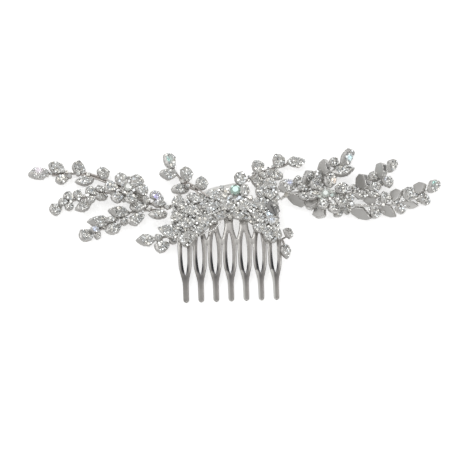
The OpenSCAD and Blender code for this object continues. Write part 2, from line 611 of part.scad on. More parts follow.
module flower_stone(hub) {
    color(crystal)
        translate(laid(hub[0], hub[1], hub[2]) + [0, 0, hub_above])
            round_stone(hub_d, 1.8, main_stone_points);
}

comb();
centre_spray();
spray_metal(upper_left_stem, upper_left_leaves, upper_left_beads, 0);  // upper_left_spray
spray_metal(middle_left_stem, middle_left_leaves, middle_left_beads, 0);  // middle_left_spray
spray_metal(lower_left_stem, lower_left_leaves, lower_left_beads, 0);  // lower_left_spray
spray_metal(left_branch_stem, left_branch_leaves, left_branch_beads, -1);  // left_branch
spray_metal(comb_left_stem, comb_left_leaves, [], 1);  // comb_left_spray
spray_metal(upper_stem, upper_leaves, upper_beads, 0);  // upper_spray
spray_metal(upper_right_stem, upper_right_leaves, [], 3);  // upper_right_spray
spray_metal(comb_right_stem, comb_right_leaves, [], 1);  // comb_right_spray
spray_metal(right_branch_stem, right_branch_leaves, right_branch_beads, 5);  // right_branch
spray_metal(right_middle_stem, right_middle_leaves, right_middle_beads, 3);  // right_middle_spray
spray_metal(right_lower_stem, right_lower_leaves, right_lower_beads, 9);  // right_lower_spray
flower_metal(left_flower_hub, left_flower_petals, 4.3);  // left_flower
flower_metal(right_flower_hub, right_flower_petals, 4.3);  // right_flower
spray_stones(upper_left_stem, upper_left_leaves, upper_left_beads, 0);  // upper_left_stones
spray_stones(middle_left_stem, middle_left_leaves, middle_left_beads, 0);  // middle_left_stones
spray_stones(lower_left_stem, lower_left_leaves, lower_left_beads, 0);  // lower_left_stones
spray_stones(left_branch_stem, left_branch_leaves, left_branch_beads, -1);  // left_branch_stones
spray_stones(comb_left_stem, comb_left_leaves, [], 1);  // comb_left_stones
spray_stones(upper_stem, upper_leaves, upper_beads, 0);  // upper_stones
spray_stones(upper_right_stem, upper_right_leaves, [], 3);  // upper_right_stones
spray_stones(comb_right_stem, comb_right_leaves, [], 1);  // comb_right_stones
spray_stones(right_branch_stem, right_branch_leaves, right_branch_beads, 5);  // right_branch_stones
spray_stones(right_middle_stem, right_middle_leaves, right_middle_beads, 3);  // right_middle_stones
spray_stones(right_lower_stem, right_lower_leaves, right_lower_beads, 9);  // right_lower_stones
centre_stones();
color(crystal) leaf_stones(left_flower_petals);  // left_flower_stones
color(crystal) leaf_stones(right_flower_petals);  // right_flower_stones
centre_stone();
flower_stone(left_flower_hub);  // left_flower_stone
flower_stone(right_flower_hub);  // right_flower_stone
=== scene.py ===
"""Looks of a bridal hair comb with crystal leaf sprays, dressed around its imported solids.

Lengths are millimetres in the comb's own frame until a mesh is made. X runs along the comb, Y away
from its teeth, Z up from the table.
"""
import math

import bpy
import numpy as np
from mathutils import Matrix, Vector


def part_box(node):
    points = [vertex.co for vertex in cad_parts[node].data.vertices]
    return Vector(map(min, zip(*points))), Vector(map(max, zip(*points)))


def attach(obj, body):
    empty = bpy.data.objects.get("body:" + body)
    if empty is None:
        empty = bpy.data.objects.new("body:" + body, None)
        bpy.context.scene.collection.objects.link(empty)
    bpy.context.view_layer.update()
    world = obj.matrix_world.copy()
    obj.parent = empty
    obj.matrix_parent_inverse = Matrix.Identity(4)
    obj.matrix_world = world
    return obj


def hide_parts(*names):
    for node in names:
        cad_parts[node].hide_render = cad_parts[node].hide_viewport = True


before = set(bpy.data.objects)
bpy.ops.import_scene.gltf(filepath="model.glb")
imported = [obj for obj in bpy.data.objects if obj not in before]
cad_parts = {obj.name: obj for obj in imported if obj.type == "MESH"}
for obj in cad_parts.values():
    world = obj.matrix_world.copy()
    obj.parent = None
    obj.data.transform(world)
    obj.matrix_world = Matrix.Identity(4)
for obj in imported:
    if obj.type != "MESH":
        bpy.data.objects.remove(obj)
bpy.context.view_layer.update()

MM = 0.001
rng = np.random.default_rng(7)

# Places as seen: the eye looks along +Y and down at eye_rise, so a place is across to the right and up
# in the picture, both in mm, as in the part's source
eye_rise = math.radians(70)
layout_shift = 0.42


def laid(across, up, height):
    """Place in the frame of a point that is seen at across and up, and lies at a height."""
    y = (up - height * math.cos(eye_rise)) / math.sin(eye_rise) + layout_shift
    return np.array([across, y, height])


def as_seen(points):
    """Across and up of points in the frame."""
    up = (points[..., 1] - layout_shift) * math.sin(eye_rise) + points[..., 2] * math.cos(eye_rise)
    return np.stack([points[..., 0], up], -1)


def unit(v):
    """Vectors made one long."""
    return v / np.linalg.norm(v, axis=-1, keepdims=True)


def route_length(route):
    """Length of a line of points."""
    return np.linalg.norm(np.diff(route, axis=0), axis=1).sum()


def run_along(route):
    """Distance of each point of a line from its start, measured along it."""
    return np.concatenate([[0], np.cumsum(np.linalg.norm(np.diff(route, axis=0), axis=1))])


def points_at(at, run, route):
    """Points of a line at some places along it, where run gives the places of its own points."""
    return np.stack([np.interp(at, run, route[:, k]) for k in range(route.shape[1])], -1)


def sideways(route):
    """Level direction to the left of a line at each of its points."""
    ahead = unit(np.gradient(route, axis=0))
    return unit(np.stack([-ahead[:, 1], ahead[:, 0], np.zeros(len(route))], -1))


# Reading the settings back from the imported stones

# Leaf cups and stones as the part cuts them
MARQUISE, PEAR, ROUND = 0, 1, 2
cup_depth = 1.5
pear_share, pear_peak, pear_waist = 0.45, 0.858, 0.978
stone_shift = 0.3
stone_inset = (1.1, 0.6)
girdle_rise = 0.35
hidden_share = 0.7
cup_stone_rise, cup_stone_inset = 0.12, 0.1
# Closer places than this are one, and an eighth of a turn along an outline is this far from its middle
same_place = 0.02
eighth_turn = 0.707


class Leaf:
    """One leaf setting: its middle, its axes (along to the tip, across, out of the front) and size."""

    def __init__(self, node, middle, axes, length, width, kind):
        self.node = node
        self.middle = middle
        self.axes = axes
        self.length = length
        self.width = width
        self.kind = kind
        self.faces_up = axes[2][2] > 0

    def place(self, points):
        """Points of the leaf's own frame, put in the comb's frame."""
        return self.middle + points @ self.axes


class Cup:
    """One round cup with its stone: the middle of the cup's top and its width."""

    def __init__(self, node, top, width):
        self.node = node
        self.top = top
        self.width = width


def packed_triangles(node):
    """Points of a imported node, and the three points of each of its triangles."""
    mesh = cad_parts[node].data
    mesh.calc_loop_triangles()
    co = np.empty(len(mesh.vertices) * 3)
    mesh.vertices.foreach_get("co", co)
    tri = np.empty(len(mesh.loop_triangles) * 3, int)
    mesh.loop_triangles.foreach_get("vertices", tri)
    return co.reshape(-1, 3) / MM, tri.reshape(-1, 3)


def box_of(node):
    """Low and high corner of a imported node's box."""
    return [np.array(corner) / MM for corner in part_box(node)]


def solids_of(node):
    """Separate solids of a node: corners at one place are one, and a label spreads over the triangles
    until each solid has its own."""
    co, tri = packed_triangles(node)
    points, same = np.unique(co.round(3), axis=0, return_inverse=True)
    tri = same.reshape(-1)[tri]
    label = np.arange(len(points))
    while True:
        spread = label.copy()
        np.minimum.at(spread, tri.ravel(), np.repeat(label[tri].min(1), 3))
        spread = spread[spread]
        if (spread == label).all():
            break
        label = spread
    return [(points, tri[label[tri[:, 0]] == k]) for k in np.unique(label)]


def read_stone(node, points, tri):
    """Leaf or cup that a stone belongs to. A stone has three rings, and its flat back is its largest
    face. The rings of a leaf's stone shift towards the leaf's tip as they widen, so the step from the
    table's middle to the girdle's gives the leaf's direction."""
    corner = points[tri]
    normal = np.cross(corner[:, 1] - corner[:, 0], corner[:, 2] - corner[:, 0])
    area = np.linalg.norm(normal, axis=1)
    normal = normal[area > 1e-6] / area[area > 1e-6, None]
    area = area[area > 1e-6]
    alike = (normal @ normal.T > 0.9995) @ area
    out = -normal[alike.argmax()]
    ring = points[np.unique(tri)]
    rise = ring @ out
    rise = rise - rise.min()
    table = ring[rise > rise.max() - 0.01]
    girdle = ring[(rise > 0.02) & (rise < rise.max() - 0.02)]
    middle = girdle.mean(0)
    step = middle - table.mean(0)
    step -= out * (step @ out)
    if np.linalg.norm(step) < same_place:
        top = np.array([middle[0], middle[1], ring[:, 2].min() - cup_stone_rise])
        return Cup(node, top, np.ptp(ring[:, 0]) + cup_stone_inset)
    along = unit(step)
    beside = np.cross(out, along)
    gx = (girdle - middle) @ along
    gy = np.abs((girdle - middle) @ beside)
    share = hidden_share if out[2] < 0 else 1
    half = np.ptp(gx) / 2
    near_base, near_tip, waist = (gy[np.abs(gx - place * half) < 0.1 * half].mean()
                                  for place in (-eighth_turn, eighth_turn, 0.0))
    kind = PEAR if near_tip > 1.2 * near_base else MARQUISE if near_base < 0.65 * waist else ROUND
    waist /= pear_waist if kind == PEAR else 1
    return Leaf(node, middle - stone_shift * along - girdle_rise * out, np.array([along, beside, out]),
                2 * half / share + stone_inset[0], 2 * waist / share + stone_inset[1], kind)


stone_nodes = sorted(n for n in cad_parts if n.endswith("_stones"))
seats = [read_stone(n, *solid) for n in stone_nodes for solid in solids_of(n)]
leaves = [s for s in seats if isinstance(s, Leaf)]
cups = [s for s in seats if isinstance(s, Cup)]


# Making meshes from arrays

def make_piece(name, points, corners, sizes, material, slot, smooth, marks=(), replaces=()):
    """Puts whole arrays of points, face corners and face sizes into a mesh that rides on the comb.
    marks are rows of name, domain, type and values."""
    mesh = bpy.data.meshes.new(name)
    mesh.vertices.add(len(points))
    points = np.column_stack([points[:, :2], np.maximum(points[:, 2], 0.0)])
    mesh.vertices.foreach_set("co", (points * MM).astype(np.float32).ravel())
    mesh.loops.add(len(corners))
    mesh.loops.foreach_set("vertex_index", corners.astype(np.int32))
    mesh.polygons.add(len(sizes))
    mesh.polygons.foreach_set("loop_start", (np.cumsum(sizes) - sizes).astype(np.int32))
    mesh.update(calc_edges=True)
    mesh.polygons.foreach_set("use_smooth", np.full(len(sizes), smooth))
    for mark, domain, kind, values in marks:
        layer = mesh.attributes.new(mark, kind, domain)
        layer.data.foreach_set("color" if kind == "FLOAT_COLOR" else "value",
                               np.asarray(values, np.float32).ravel())
    mesh.materials.append(material)
    piece = bpy.data.objects.new(name, mesh)
    bpy.context.scene.collection.objects.link(piece)
    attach(piece, "root")
    if replaces:
        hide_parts(*replaces)


def joined(parts):
    """Joins rows of points, corners and sizes into one."""
    starts = np.concatenate([[0], np.cumsum([len(p[0]) for p in parts])[:-1]])
    return (np.concatenate([p[0] for p in parts]),
            np.concatenate([p[1] + s for p, s in zip(parts, starts)]),
            np.concatenate([p[2] for p in parts]))


def copies(form, centres, axes, widths):
    """Copies of one small form, each at its centre, turned by its axes and scaled by its width."""
    points, corners, sizes = form
    n = len(centres)
    placed = centres[:, None] + np.einsum("kj,njc->nkc", points, axes * widths[:, None, None])
    return (placed.reshape(-1, 3),
            (corners[None] + len(points) * np.arange(n)[:, None]).ravel(),
            np.tile(sizes, n))


def face_table(faces):
    """Flat corners and sizes of a list of faces."""
    return np.concatenate([np.array(f) for f in faces]), np.array([len(f) for f in faces])


def rings_closed(rings, low, top):
    """Closed form through rings of equal counts, from the lowest ring up, with a pole at each end.
    Each ring turns anticlockwise as seen from above."""
    rows, around = rings.shape[:2]
    points = np.concatenate([rings.reshape(-1, 3), [low, top]])
    i = np.arange(around)
    j = (i + 1) % around
    r = np.arange(rows - 1)[:, None] * around
    quads = np.stack([r + i, r + j, r + around + j, r + around + i], -1).reshape(-1)
    last = (rows - 1) * around
    under = np.stack([np.full(around, rows * around), j, i], -1).reshape(-1)
    over = np.stack([np.full(around, rows * around + 1), last + i, last + j], -1).reshape(-1)
    sizes = np.concatenate([np.full((rows - 1) * around, 4), np.full(2 * around, 3)])
    return points, np.concatenate([quads, under, over]), sizes


def bearings(count, first=0.0):
    """Even bearings round a circle."""
    return first + np.arange(count) * 2 * math.pi / count


def turned_form(profile, around):
    """Form of revolution through rows of radius and height, from the lowest row up."""
    t = bearings(around)
    radius, high = (np.array(c)[:, None] for c in zip(*profile))
    rings = np.stack([radius * np.cos(t), radius * np.sin(t), high + 0 * t], -1)
    return rings_closed(rings, [0, 0, profile[0][1]], [0, 0, profile[-1][1]])


def brilliant():
    """Round brilliant of width 1 with its girdle at height 0: a table, star and kite facets and upper
    girdle facets on eight sides, and a low back."""
    a = np.arange(8) * math.pi / 4
    b = a + math.pi / 8
    rings = [(0.27, 0.19, a), (0.405, 0.105, b), (0.5, 0.0, a), (0.44, -0.1, a)]
    points = np.concatenate([np.stack([r * np.cos(t), r * np.sin(t), np.full(8, z)], -1)
                             for r, z, t in rings])
    k = np.arange(8)
    following = (k + 1) % 8
    faces = [list(k)]
    faces += [[i, 8 + i, j] for i, j in zip(k, following)]
    faces += [[j, 8 + i, 16 + j, 8 + j] for i, j in zip(k, following)]
    faces += [[8 + i, 16 + i, 16 + j] for i, j in zip(k, following)]
    faces += [[16 + i, 24 + i, 24 + j, 16 + j] for i, j in zip(k, following)]
    faces += [list(24 + k[::-1])]
    return (points, *face_table(faces))


small_brilliant = brilliant()
small_bead = turned_form([(0.3, -0.4), (0.5, 0.0), (0.36, 0.34)], 7)
collet = turned_form([(0.40, -1.0), (0.52, -0.1), (0.54, 0.12), (0.47, 0.16), (0.42, 0.0)], 10)
tall_collet = turned_form([(0.28, -2.0), (0.40, -0.9), (0.50, -0.1), (0.52, 0.08), (0.42, 0.0)], 9)


# Materials

def new_group(name, inputs, outputs):
    """Empty shader node group with named float inputs and outputs."""
    tree = bpy.data.node_groups.new(name, "ShaderNodeTree")
    for label, value in inputs:
        socket = tree.interface.new_socket(label, in_out="INPUT", socket_type="NodeSocketFloat")
        socket.default_value = value
    for label in outputs:
        tree.interface.new_socket(label, in_out="OUTPUT", socket_type="NodeSocketFloat")
    return tree, tree.nodes.new("NodeGroupInput"), tree.nodes.new("NodeGroupOutput")


def feed(tree, socket, value):
    """Sets an input to a constant, or joins it to the output that gives its value."""
    if isinstance(value, bpy.types.NodeSocket):
        tree.links.new(value, socket)
    else:
        socket.default_value = value


def set_inputs(tree, node, **values):
    """Feeds inputs of a node by their names."""
    for key, value in values.items():
        feed(tree, node.inputs[key.replace("_", " ")], value)


def add_node(tree, kind, settings=(), **values):
    """New node with its settings and its inputs."""
    made = tree.nodes.new(kind)
    for key, value in settings:
        setattr(made, key, value)
    set_inputs(tree, made, **values)
    return made


def mixed(tree, share, low, high, data_type="RGBA", blend_type="MIX"):
    """Mix of two colours, or of two values, by a share."""
    made = add_node(tree, "ShaderNodeMix", [("data_type", data_type), ("blend_type", blend_type)])
    first, out = (6, 2) if data_type == "RGBA" else (2, 0)
    for place, value in ((0, share), (first, low), (first + 1, high)):
        feed(tree, made.inputs[place], value)
    return made.outputs[out]


def maths(tree, operation, *values):
    """Result of a sum."""
    made = add_node(tree, "ShaderNodeMath", [("operation", operation)])
    for socket, value in zip(made.inputs, values):
        feed(tree, socket, value)
    return made.outputs["Value"]


def spread_over(tree, value, low, high):
    """A value from 0 to 1 spread over low to high."""
    return add_node(tree, "ShaderNodeMapRange", Value=value, To_Min=low, To_Max=high).outputs["Result"]


def ramped(tree, value, stops):
    """Colour by a value, through stops of place and colour from 0 to 1."""
    ramp = add_node(tree, "ShaderNodeValToRGB", Fac=value)
    elements = ramp.color_ramp.elements
    elements[0].color = (*stops[0][1], 1)
    elements[1].color = (*stops[-1][1], 1)
    for place, colour in stops[1:-1]:
        elements.new(place).color = (*colour, 1)
    return ramp.outputs["Color"]


def attribute(tree, name, output="Fac"):
    """Value or colour of a mesh attribute."""
    return add_node(tree, "ShaderNodeAttribute", [("attribute_name", name)]).outputs[output]


def new_material(name):
    """New material with its node tree and its shader."""
    mat = bpy.data.materials.new(name)
    mat.use_nodes = True
    return mat, mat.node_tree, mat.node_tree.nodes["Principled BSDF"]


def plating_group():
    """Wear of a plated surface in its own place: broad cloudy tone and fine grain."""
    tree, into, out = new_group("plating", [("Cloud Scale", 300.0), ("Grain Scale", 3000.0)],
                                ["Cloud", "Grain"])
    where = add_node(tree, "ShaderNodeTexCoord").outputs["Object"]
    for label, detail, roughness in (("Cloud", 3.0, 0.6), ("Grain", 2.0, 0.7)):
        noise = add_node(tree, "ShaderNodeTexNoise", Detail=detail, Roughness=roughness, Vector=where,
                         Scale=into.outputs[label + " Scale"])
        feed(tree, out.inputs[label], noise.outputs["Fac"])
    return tree


plating = plating_group()
grain_height = 0.00005


def raise_grain(tree, wear, shader, strength):
    """Fine grain that stands out of a plated surface."""
    raised = add_node(tree, "ShaderNodeBump", Strength=strength, Distance=grain_height,
                      Height=wear.outputs["Grain"])
    feed(tree, shader.inputs["Normal"], raised.outputs["Normal"])


def metal_material(name, dark, light, rough, bump, marked=False):
    """Plated metal: its tone drifts between two greys, its roughness follows the same clouds, and a fine
    grain raises it. On marked metal, polish makes edges smooth, and a lighter tone is painted on the seats
    between the stones: painted light that lifts the shade there."""
    mat, tree, shader = new_material(name)
    wear = add_node(tree, "ShaderNodeGroup", [("node_tree", plating)])
    colour = mixed(tree, wear.outputs["Cloud"], (*dark, 1), (*light, 1))
    roughness = spread_over(tree, wear.outputs["Cloud"], *rough)
    if marked:
        roughness = mixed(tree, attribute(tree, "polish"), roughness, 0.14, "FLOAT")
        # Painted light: the seats between the stones are painted a lighter tone that lifts the shade there
        colour = mixed(tree, attribute(tree, "soot"), colour, (0.72, 0.71, 0.69, 1))
    set_inputs(tree, shader, Metallic=1.0, Base_Color=colour, Roughness=roughness)
    raise_grain(tree, wear, shader, bump)
    return mat


def comb_material():
    """Plated sheet of the comb: its painted light and shade runs from black through the plain tone to
    white, clouded a little."""
    mat, tree, shader = new_material("comb plating")
    wear = add_node(tree, "ShaderNodeGroup", [("node_tree", plating)])
    drift = spread_over(tree, wear.outputs["Cloud"], -0.04, 0.04)
    level = maths(tree, "ADD", attribute(tree, "shade"), drift)
    colour = ramped(tree, level, [
        (0.0, (0.008, 0.008, 0.011)), (0.25, (0.16, 0.155, 0.16)), (0.45, (0.42, 0.40, 0.385)),
        (0.5, (0.56, 0.54, 0.52)), (0.7, (0.84, 0.83, 0.80)), (1.0, (1, 1, 1))])
    roughness = spread_over(tree, wear.outputs["Cloud"], 0.32, 0.40)
    set_inputs(tree, shader, Metallic=1.0, Base_Color=colour, Roughness=roughness)
    raise_grain(tree, wear, shader, 0.05)
    return mat


def crystal_material():
    """Cut crystal over silver foil: each facet has its own painted tone that stands in for its
    reflections, each stone its own tint, and a painted glow lights the facets marked with fire as painted
    glints."""
    mat, tree, shader = new_material("foiled crystal")
    tint = attribute(tree, "tint", "Color")
    greys = [(0.0, 0.26), (0.12, 0.68), (0.5, 0.90), (1.0, 1.0)]
    tone = ramped(tree, attribute(tree, "facet"), [(place, (grey, grey, grey)) for place, grey in greys])
    colour = mixed(tree, 1.0, tone, tint, blend_type="MULTIPLY")
    # Painted glow: facets marked with fire shine as painted glints
    glow = mixed(tree, attribute(tree, "fire"), (0, 0, 0, 1), tint)
    set_inputs(tree, shader, Base_Color=colour, Metallic=0.5, Roughness=0.08, IOR=1.7,
               Emission_Color=glow, Emission_Strength=0.75)
    return mat


satin = metal_material("satin plating", (0.60, 0.59, 0.575), (0.72, 0.71, 0.69), (0.44, 0.54), 0.2, True)
polished = metal_material("bright plating", (0.72, 0.70, 0.68), (0.86, 0.84, 0.82), (0.20, 0.32), 0.1)
shaded_plating = metal_material("shaded plating", (0.32, 0.317, 0.312), (0.38, 0.376, 0.37),
                                (0.48, 0.56), 0.2, True)
# A paler copy of the plating: painted light that lifts the shade in the centre's gaps, under its plate and
# on the right wing's parts
lit_plating = metal_material("light plating", (0.80, 0.79, 0.77), (0.90, 0.89, 0.87), (0.30, 0.42), 0.1)
brown_plating = metal_material("worn plating", (0.50, 0.46, 0.435), (0.66, 0.625, 0.60), (0.30, 0.40), 0.1)
stem_plating = metal_material("stem plating", (0.46, 0.435, 0.415), (0.60, 0.575, 0.55), (0.28, 0.38), 0.1)
wire_plating = metal_material("wire plating", (0.84, 0.83, 0.81), (0.93, 0.92, 0.90), (0.16, 0.24), 0.05)
comb_finish = comb_material()
crystal = crystal_material()


# Leaf settings

leaf_turns = 64
turns = bearings(leaf_turns)
scallop_pitch = 1.5
scallop_depth = 0.22
corner_side = {True: 2.0, False: 2.6}
corner_rise = {True: 0.12, False: 0.22}
corner_vary = 0.30
# The wall flares towards the teeth's left, so that end of a leaf shows plain metal
heel_side = unit(np.array([-0.9, -0.42, 0.0]))
heel_share = {MARQUISE: 0.25, PEAR: 0.17, ROUND: 0.12}
rim_width = 0.12
# Sprays whose leaves show less of that end, as a share of it
heel_less = {"upper_left_stones": 0.55, "upper_right_stones": 0.2,
             "comb_right_stones": 0.4, "centre_stones": 0.0}


def leaf_edge(leaf, turn):
    """Edge of a leaf: x goes from the base to the tip as minus the cosine of the turn, and the width
    swells by the sine, squeezed for a marquise's two points or a pear's one."""
    sine = np.sin(turn)
    if leaf.kind == MARQUISE:
        swell = np.abs(sine) ** 0.6
    elif leaf.kind == PEAR:
        swell = (pear_share + (1 - pear_share) * np.sin(turn / 2)) / pear_peak
    else:
        swell = np.ones_like(turn)
    return np.stack([-leaf.length / 2 * np.cos(turn), leaf.width / 2 * sine * swell], -1)


def corner_edge(leaf):
    """Outline of a leaf bent from a strip: straight sides between corners, one of them at the tip. The
    corners stand out by amounts that vary round the leaf and from leaf to leaf."""
    side = corner_side[leaf.faces_up]
    count = 2 * max(3, round(route_length(leaf_edge(leaf, turns)) / side / 2))
    corner_turns = np.arange(count + 1) * 2 * math.pi / count
    corners = leaf_edge(leaf, corner_turns)
    out = unit(corners / [leaf.length, leaf.width])
    vary = np.sin(2.4 * (np.arange(count + 1) % count) + 5 * leaf.middle[0] + 3 * leaf.middle[1])
    corners = corners + out * (corner_rise[leaf.faces_up] + corner_vary * vary)[:, None]
    return points_at(turns, corner_turns, corners)


def outward(edge):
    """Outward normals of a closed outline that turns clockwise."""
    ahead = np.roll(edge, -1, 0) - np.roll(edge, 1, 0)
    return unit(np.stack([-ahead[:, 1], ahead[:, 0]], -1))


def bed_edge(leaf):
    """Inner edge of a leaf's rim: the outline drawn in by the rim's width, and at the heel's end by a
    share of the leaf's length too."""
    edge = corner_edge(leaf)
    heel = unit(leaf.axes[:2] @ heel_side)
    towards = edge @ heel
    at_heel = np.clip((towards / towards.max() - 0.3) / 0.6, 0, 1)[:, None]
    reach = np.array([leaf.length / 2, leaf.width / 2])
    ends = 1 + 0.8 * np.abs(np.cos(turns[:, None])) ** 8 * (leaf.kind == MARQUISE)
    shown = leaf.faces_up * heel_less.get(leaf.node, 1.0)
    drawn = shown * heel_share[leaf.kind] * leaf.length * at_heel ** 1.5
    return edge * (1 - rim_width * ends / reach) - drawn * heel


def scallops(leaf):
    """Wave along a leaf's outline, one scallop a small stone, measured outwards."""
    run = run_along(leaf_edge(leaf, np.append(turns, 2 * math.pi)))
    count = round(run[-1] / scallop_pitch)
    return scallop_depth * (np.abs(np.sin(math.pi * count * run[:-1] / run[-1])) - 0.4)


def back_height(leaf, flat):
    """Height of a cup's domed back under its front: a ball's surface."""
    ball = ((leaf.length / 2) ** 2 + cup_depth ** 2) / (2 * cup_depth) * 1.4
    return ball - cup_depth - np.sqrt(np.maximum(ball ** 2 - (flat ** 2).sum(-1), 0))


# Rows of a setting from the middle of its back to the middle of its front: share of the way from the outer
# edge to the bed's edge, share of that outline, height above the front (of the back: its ball), polish and
# painted seat light (a lighter tone that lifts the shade between the stones)
BALL = None
setting_rows = [
    (0.0, 0.30, BALL, 0.0, 0.0),
    (0.0, 0.60, BALL, 0.0, 0.0),
    (0.0, 0.85, BALL, 0.0, 0.0),
    (0.0, 1.00, BALL, 0.0, 0.0),
    (0.0, 1.00, 0.02, 0.0, 0.0),
    (0.1, 1.00, 0.20, 0.2, 0.0),
    (0.8, 1.00, 0.50, 0.3, 0.0),
    (1.0, 1.00, 0.56, 1.0, 0.0),
    (1.0, 0.96, 0.52, 1.0, 0.2),
    (1.0, 0.93, 0.30, 0.3, 1.0),
    (1.0, 0.70, 0.42, 0.3, 1.0),
    (1.0, 0.35, 0.50, 0.3, 1.0)]
bed_top = 0.52

# The back of a leaf that lies face down is a flat lid with a bright edge, cut with straight sides: rows
# in the same order for its back
lid_height = 1.55
lid_rows = [
    (0.0, 0.88, -lid_height, 0.0, 0.0),
    (0.0, 0.92, -1.54, 0.0, 0.0),
    (0.0, 0.965, -1.46, 1.0, 0.0),
    (0.0, 1.00, -1.15, 1.0, 0.0)]


def rows_of(leaf):
    """Rows of a leaf's setting, with a lid if it lies face down."""
    wall = [(*row[:3], 1.0, 0.0) for row in setting_rows[len(lid_rows):]]
    return setting_rows if leaf.faces_up else lid_rows + wall


def outer_edge(leaf):
    """Outer edge of a leaf's setting: its corners' outline, scalloped if it faces up."""
    edge = corner_edge(leaf)
    return edge + outward(edge) * (0.04 + scallops(leaf) * leaf.faces_up)[:, None]


def setting(leaf):
    """Closed shell of a leaf: rings that go from the back over the wall and the rim to the bed. The
    back's rings lie just outside the ball that the cup is cut from."""
    outer = outer_edge(leaf)
    bed = bed_edge(leaf)
    rings = []
    for along, share, height, *_ in rows_of(leaf):
        flat = share * (outer + along * (bed - outer))
        z = back_height(leaf, flat) - 0.04 if height is BALL else np.full(leaf_turns, height)
        rings.append(np.column_stack([flat, np.minimum(z, 0.0) if height is BALL else z]))
    rings = np.array(rings)[:, ::-1]
    lowest = rings[0, :, 2].min() - 0.01
    points, corners, sizes = rings_closed(rings, [0, 0, lowest], [*bed.mean(0), bed_top])
    return leaf.place(points), corners, sizes


def setting_marks(mine):
    """Polish and painted seat light of the points of some leaves' settings."""
    parts = []
    for leaf in mine:
        parts.append(np.repeat(np.array([row[3:] for row in rows_of(leaf)]), leaf_turns, 0))
        parts.append([[0.0, 0.0], [0.3, 1.0]])
    both = np.concatenate(parts)
    return [("polish", "POINT", "FLOAT", both[:, 0]), ("soot", "POINT", "FLOAT", both[:, 1])]


# Small stones and claws

stone_size, stone_vary = 1.02, 0.17
claw_d = 0.28
# Heights over a leaf's front, at its rim and at its middle
stone_heights = (0.48, 0.66)
claw_heights = (0.56, 0.78)

# Shares of the small stones that get a painted flash and that show painted black reflections. To the right
# of a place across, the painted light on them is harder: there are more of both, their facets' painted
# light and shade swings further, and the claws are larger
flash_share, flash_more = 0.38, 0.22
black_share, black_more = 0.07, 0.17
facet_swing, swing_more = 0.28, 0.16
hard_light_from = 21.0
claw_more = 1.7
# How far whole stones, and the facets of one stone, differ in tone
stone_spread, facet_spread = 0.13, 0.16


def along_outline(edge, count, start):
    """Points at even steps along a closed outline, and the outline's own places between them."""
    closed = np.concatenate([edge, edge[:1]])
    run = run_along(closed)
    return points_at((start + np.arange(count) / count) % 1 * run[-1], run, closed)


def pave(leaf):
    """Flat places and widths of a leaf's small stones and claws: a ring of stones inside the rim, one of
    them at the tip, and rows of like stones between its two sides."""
    bed = bed_edge(leaf)
    middle = bed.mean(0)
    half = np.ptp(bed, axis=0) / 2
    stone = stone_size + stone_vary * math.sin(7 * leaf.middle[0] + 5 * leaf.middle[1])
    lane = middle + (bed - middle) * (1 - 0.44 * stone / half)
    perimeter = np.linalg.norm(np.diff(lane, axis=0, append=lane[:1]), axis=1).sum()
    count = max(5, round(perimeter / stone))
    places = [along_outline(lane, count, 0.5)]
    widths = [np.full(count, min(stone, perimeter / count))]
    upper, lower = lane[1:leaf_turns // 2], lane[:leaf_turns // 2:-1]
    row_count = max(1, round(np.ptp(lane[:, 1]) / stone) - 1)
    for row in range(1, row_count + 1):
        x = np.arange(lane[:, 0].max() - stone * (1 if row % 2 else 1.5), lane[:, 0].min(), -stone)
        high = np.interp(x, upper[:, 0], upper[:, 1])
        low = np.interp(x, lower[:, 0], lower[:, 1])
        room = (high - low) / (row_count + 1)
        keep = room > 0.7 * stone
        places.append(np.column_stack([x, low + row * room])[keep])
        widths.append(np.minimum(room * 1.04, stone * 1.15)[keep])
    rim_claws = along_outline(middle + (bed - middle) * (1 - 0.02 / half), count, 0.5 + 0.5 / count)
    inner = along_outline(middle + (lane - middle) * (1 - 0.5 * stone / half), max(3, count // 2), 0.5)
    return np.concatenate(places), np.concatenate(widths), np.concatenate([rim_claws, inner])


def bed_height(leaf, flat, low, high):
    """Height over a leaf's bed: a low dome that falls from its middle to the rim."""
    reach = ((flat / [leaf.length / 2, leaf.width / 2]) ** 2).sum(-1)
    return low + (high - low) * np.clip(1 - reach, 0, 1)


def random_turns(n, tilt):
    """Axes of n small stones: a free turn about their own axis, and a small tilt."""
    spin = rng.uniform(0, 2 * math.pi, n)
    out = unit(np.column_stack([rng.normal(0, tilt, (n, 2)), np.ones(n)]))
    along = np.stack([np.cos(spin), np.sin(spin), np.zeros(n)], -1)
    along = unit(along - out * (along * out).sum(1, keepdims=True))
    return np.stack([along, np.cross(out, along), out], 1)


# Places as seen that stay plain, with their reach
plain_places = [(20.9, -2.9, 1.9)]


def covered(centres):
    """Whether each place is away from those that stay plain."""
    seen = as_seen(centres)
    away = [((seen - [across, up]) ** 2).sum(1) > reach ** 2 for across, up, reach in plain_places]
    return np.all(away, axis=0)


def leaf_stones(leaf):
    """Centres, axes and widths of a leaf's small stones, in the comb's frame."""
    flat, width, _ = pave(leaf)
    centres = leaf.place(np.column_stack([flat, bed_height(leaf, flat, *stone_heights)]))
    keep = covered(centres)
    return centres[keep], (random_turns(len(flat), 0.10) @ leaf.axes)[keep], width[keep]


def leaf_claws(leaf):
    """Centres, axes and widths of a leaf's claws."""
    flat = pave(leaf)[2]
    centres = leaf.place(np.column_stack([flat, bed_height(leaf, flat, *claw_heights)]))
    d = claw_d * (claw_more if leaf.middle[0] > hard_light_from else 1.0)
    return centres, np.repeat(leaf.axes[None], len(flat), 0), rng.uniform(0.8, 1.15, len(flat)) * d
